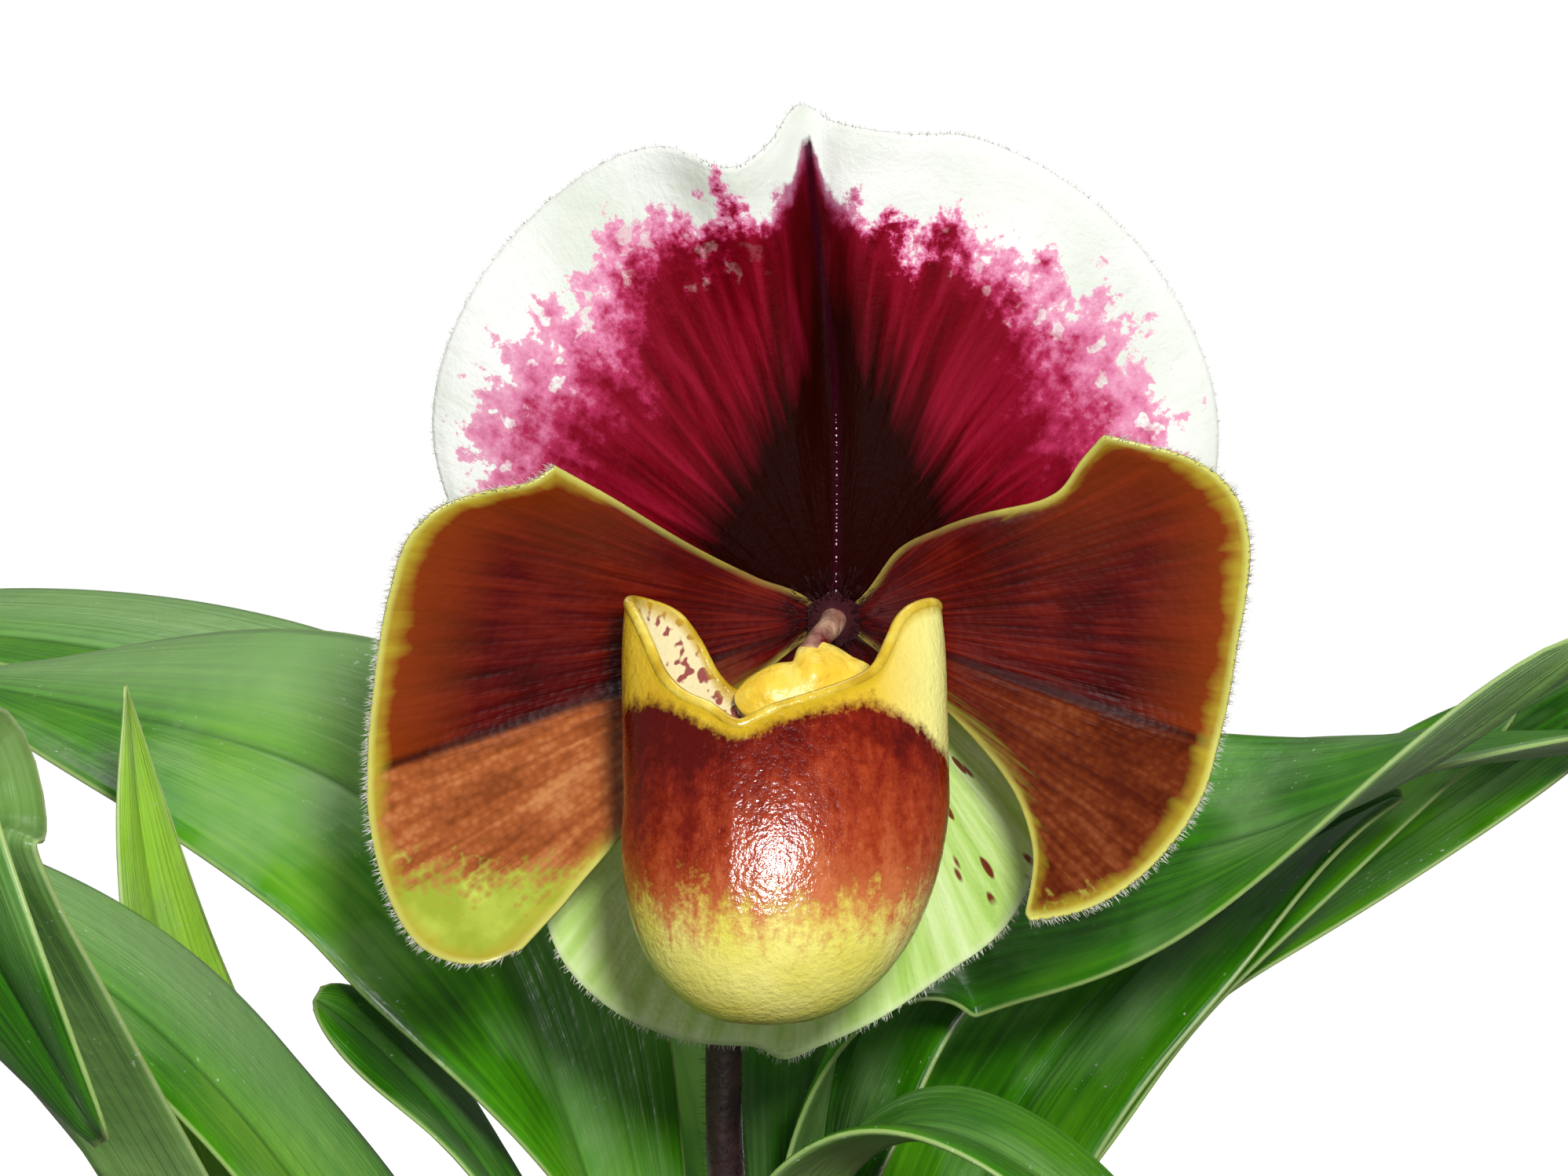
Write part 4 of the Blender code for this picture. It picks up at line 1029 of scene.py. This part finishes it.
def make_shield():
    bm = bmesh.new()
    bmesh.ops.create_uvsphere(bm, u_segments=96, v_segments=48, radius=1)
    # its poles go to the front and the back
    bmesh.ops.rotate(bm, matrix=Matrix.Rotation(math.radians(90), 3, "X"), verts=bm.verts[:])
    for corner in bm.verts:
        turn = math.degrees(math.atan2(corner.co.x, corner.co.z))
        out = through(SHIELD_OUTLINE, turn) * math.hypot(corner.co.x, corner.co.z)
        x, z = out * math.sin(math.radians(turn)), out * math.cos(math.radians(turn))
        y = corner.co.y * 1.1 + 0.02 * x * x + 0.02 * z * z
        if corner.co.y < 0:
            bosses = [high * math.exp(-((x - i) ** 2 + (z - k) ** 2) / 7) for i, k, high in SHIELD_BOSSES]
            y += sum(bosses) * corner.co.y
        corner.co = Vector((x, y, z))
    lean = Matrix.Rotation(-math.radians(SHIELD_LEAN), 4, "X")
    place = BLOOM_PLACE @ Matrix.Translation(SHIELD_MIDDLE * MM) @ lean @ Matrix.Scale(MM, 4)
    bmesh.ops.transform(bm, matrix=place, verts=bm.verts[:])
    bmesh.ops.recalc_face_normals(bm, faces=bm.faces[:])
    return object_of("column_shield", bm, shield_yellow)


make_shield()
draw = random.Random(61)
bm = bmesh.new()
for _ in range(420):
    turn, out = draw.uniform(0, math.tau), draw.uniform(2.0, 5.6)
    way = Vector((math.cos(turn), -0.6, math.sin(turn)))
    root = bloom_spot(out * way.x, -1.9 - max(0.0, out - 3.1) * 0.25, out * way.z)
    add_hair(bm, root, way, 1.5 * MM, 0.06 * MM, draw)
object_of("column_hairs", bm, purple_hair)


# The studio: a plain near-white floor in a white room, with the camera in front of the bloom, looking down. A
# small light up to its right only shades, and one just above it only gives the wax its gloss. Wider, weaker
# lights fill in from both sides, from above and from behind.
TARGET = Vector((-5.7, -24, 248.7)) * MM
CAMERA_REACH = 520 * MM
# the photo is 1997 px wide, at 0.09 mm a pixel at the bloom
FRAME_WIDTH = 1997 * 0.09 * MM
SENSOR_WIDTH = 36
down = math.radians(BLOOM_TIP)
camera = new_object("camera", bpy.data.cameras.new("camera"))
camera.data.sensor_width = SENSOR_WIDTH
camera.data.lens = SENSOR_WIDTH * CAMERA_REACH / FRAME_WIDTH
camera.data.clip_start = 0.02
camera.data.clip_end = 200
camera.location = TARGET - Vector((0, math.cos(down), -math.sin(down))) * CAMERA_REACH
camera.rotation_euler = (math.radians(90 - BLOOM_TIP), 0, 0)
bpy.context.scene.camera = camera


def backdrop(name, bm, strength, **constants):
    """Floor or room: it glows, and only the camera sees it."""
    glow = {"Emission_Color": (1, 1, 1, 1), "Emission_Strength": strength}
    finish, _ = new_finish(f"white_{name}", **glow, **constants)
    shown = mesh_object(name, bm, finish)
    shown.visible_diffuse = shown.visible_glossy = shown.visible_transmission = False
    return shown


bm = bmesh.new()
bmesh.ops.create_grid(bm, x_segments=1, y_segments=1, size=55)
floor = backdrop("floor", bm, strength=0.87, Roughness=0.9, Base_Color=hex_colour("#F8F8F8"))
floor.location.z = -0.3 * MM
bm = bmesh.new()
bmesh.ops.create_uvsphere(bm, u_segments=48, v_segments=24, radius=60)
room = backdrop("room", bm, strength=1.0)
room.visible_shadow = False


def soft_light(name, place, size, watts, glossy=True, diffuse=True):
    lamp = bpy.data.lights.new(name, "AREA")
    lamp.shape = "DISK"
    lamp.size = size
    lamp.energy = watts
    light = new_object(name, lamp)
    light.location = place
    light.rotation_euler = (TARGET - Vector(place)).to_track_quat("-Z", "Y").to_euler()
    light.visible_glossy = glossy
    light.visible_diffuse = diffuse


soft_light("key", (0.08, -0.6, 0.47), 0.1, 3.7, glossy=False)
soft_light("gloss", (-0.03, -0.62, 0.34), 0.13, 3.4, diffuse=False)
soft_light("fill_left", (-0.6, -0.35, 0.4), 0.35, 0.6, glossy=False)
soft_light("fill_right", (0.6, -0.35, 0.45), 0.35, 0.45, glossy=False)
soft_light("top", (0.05, 0.25, 0.95), 0.4, 1.6)
soft_light("back", (-0.1, 0.75, 0.4), 0.5, 1.6, glossy=False)
world = bpy.data.worlds.new("white_room")
world.use_nodes = True
sky = world.node_tree.nodes["Background"]
sky.inputs["Color"].default_value = (1, 1, 1, 1)
sky.inputs["Strength"].default_value = 0.17
bpy.context.scene.world = world
bpy.context.scene.view_settings.view_transform = "Standard"
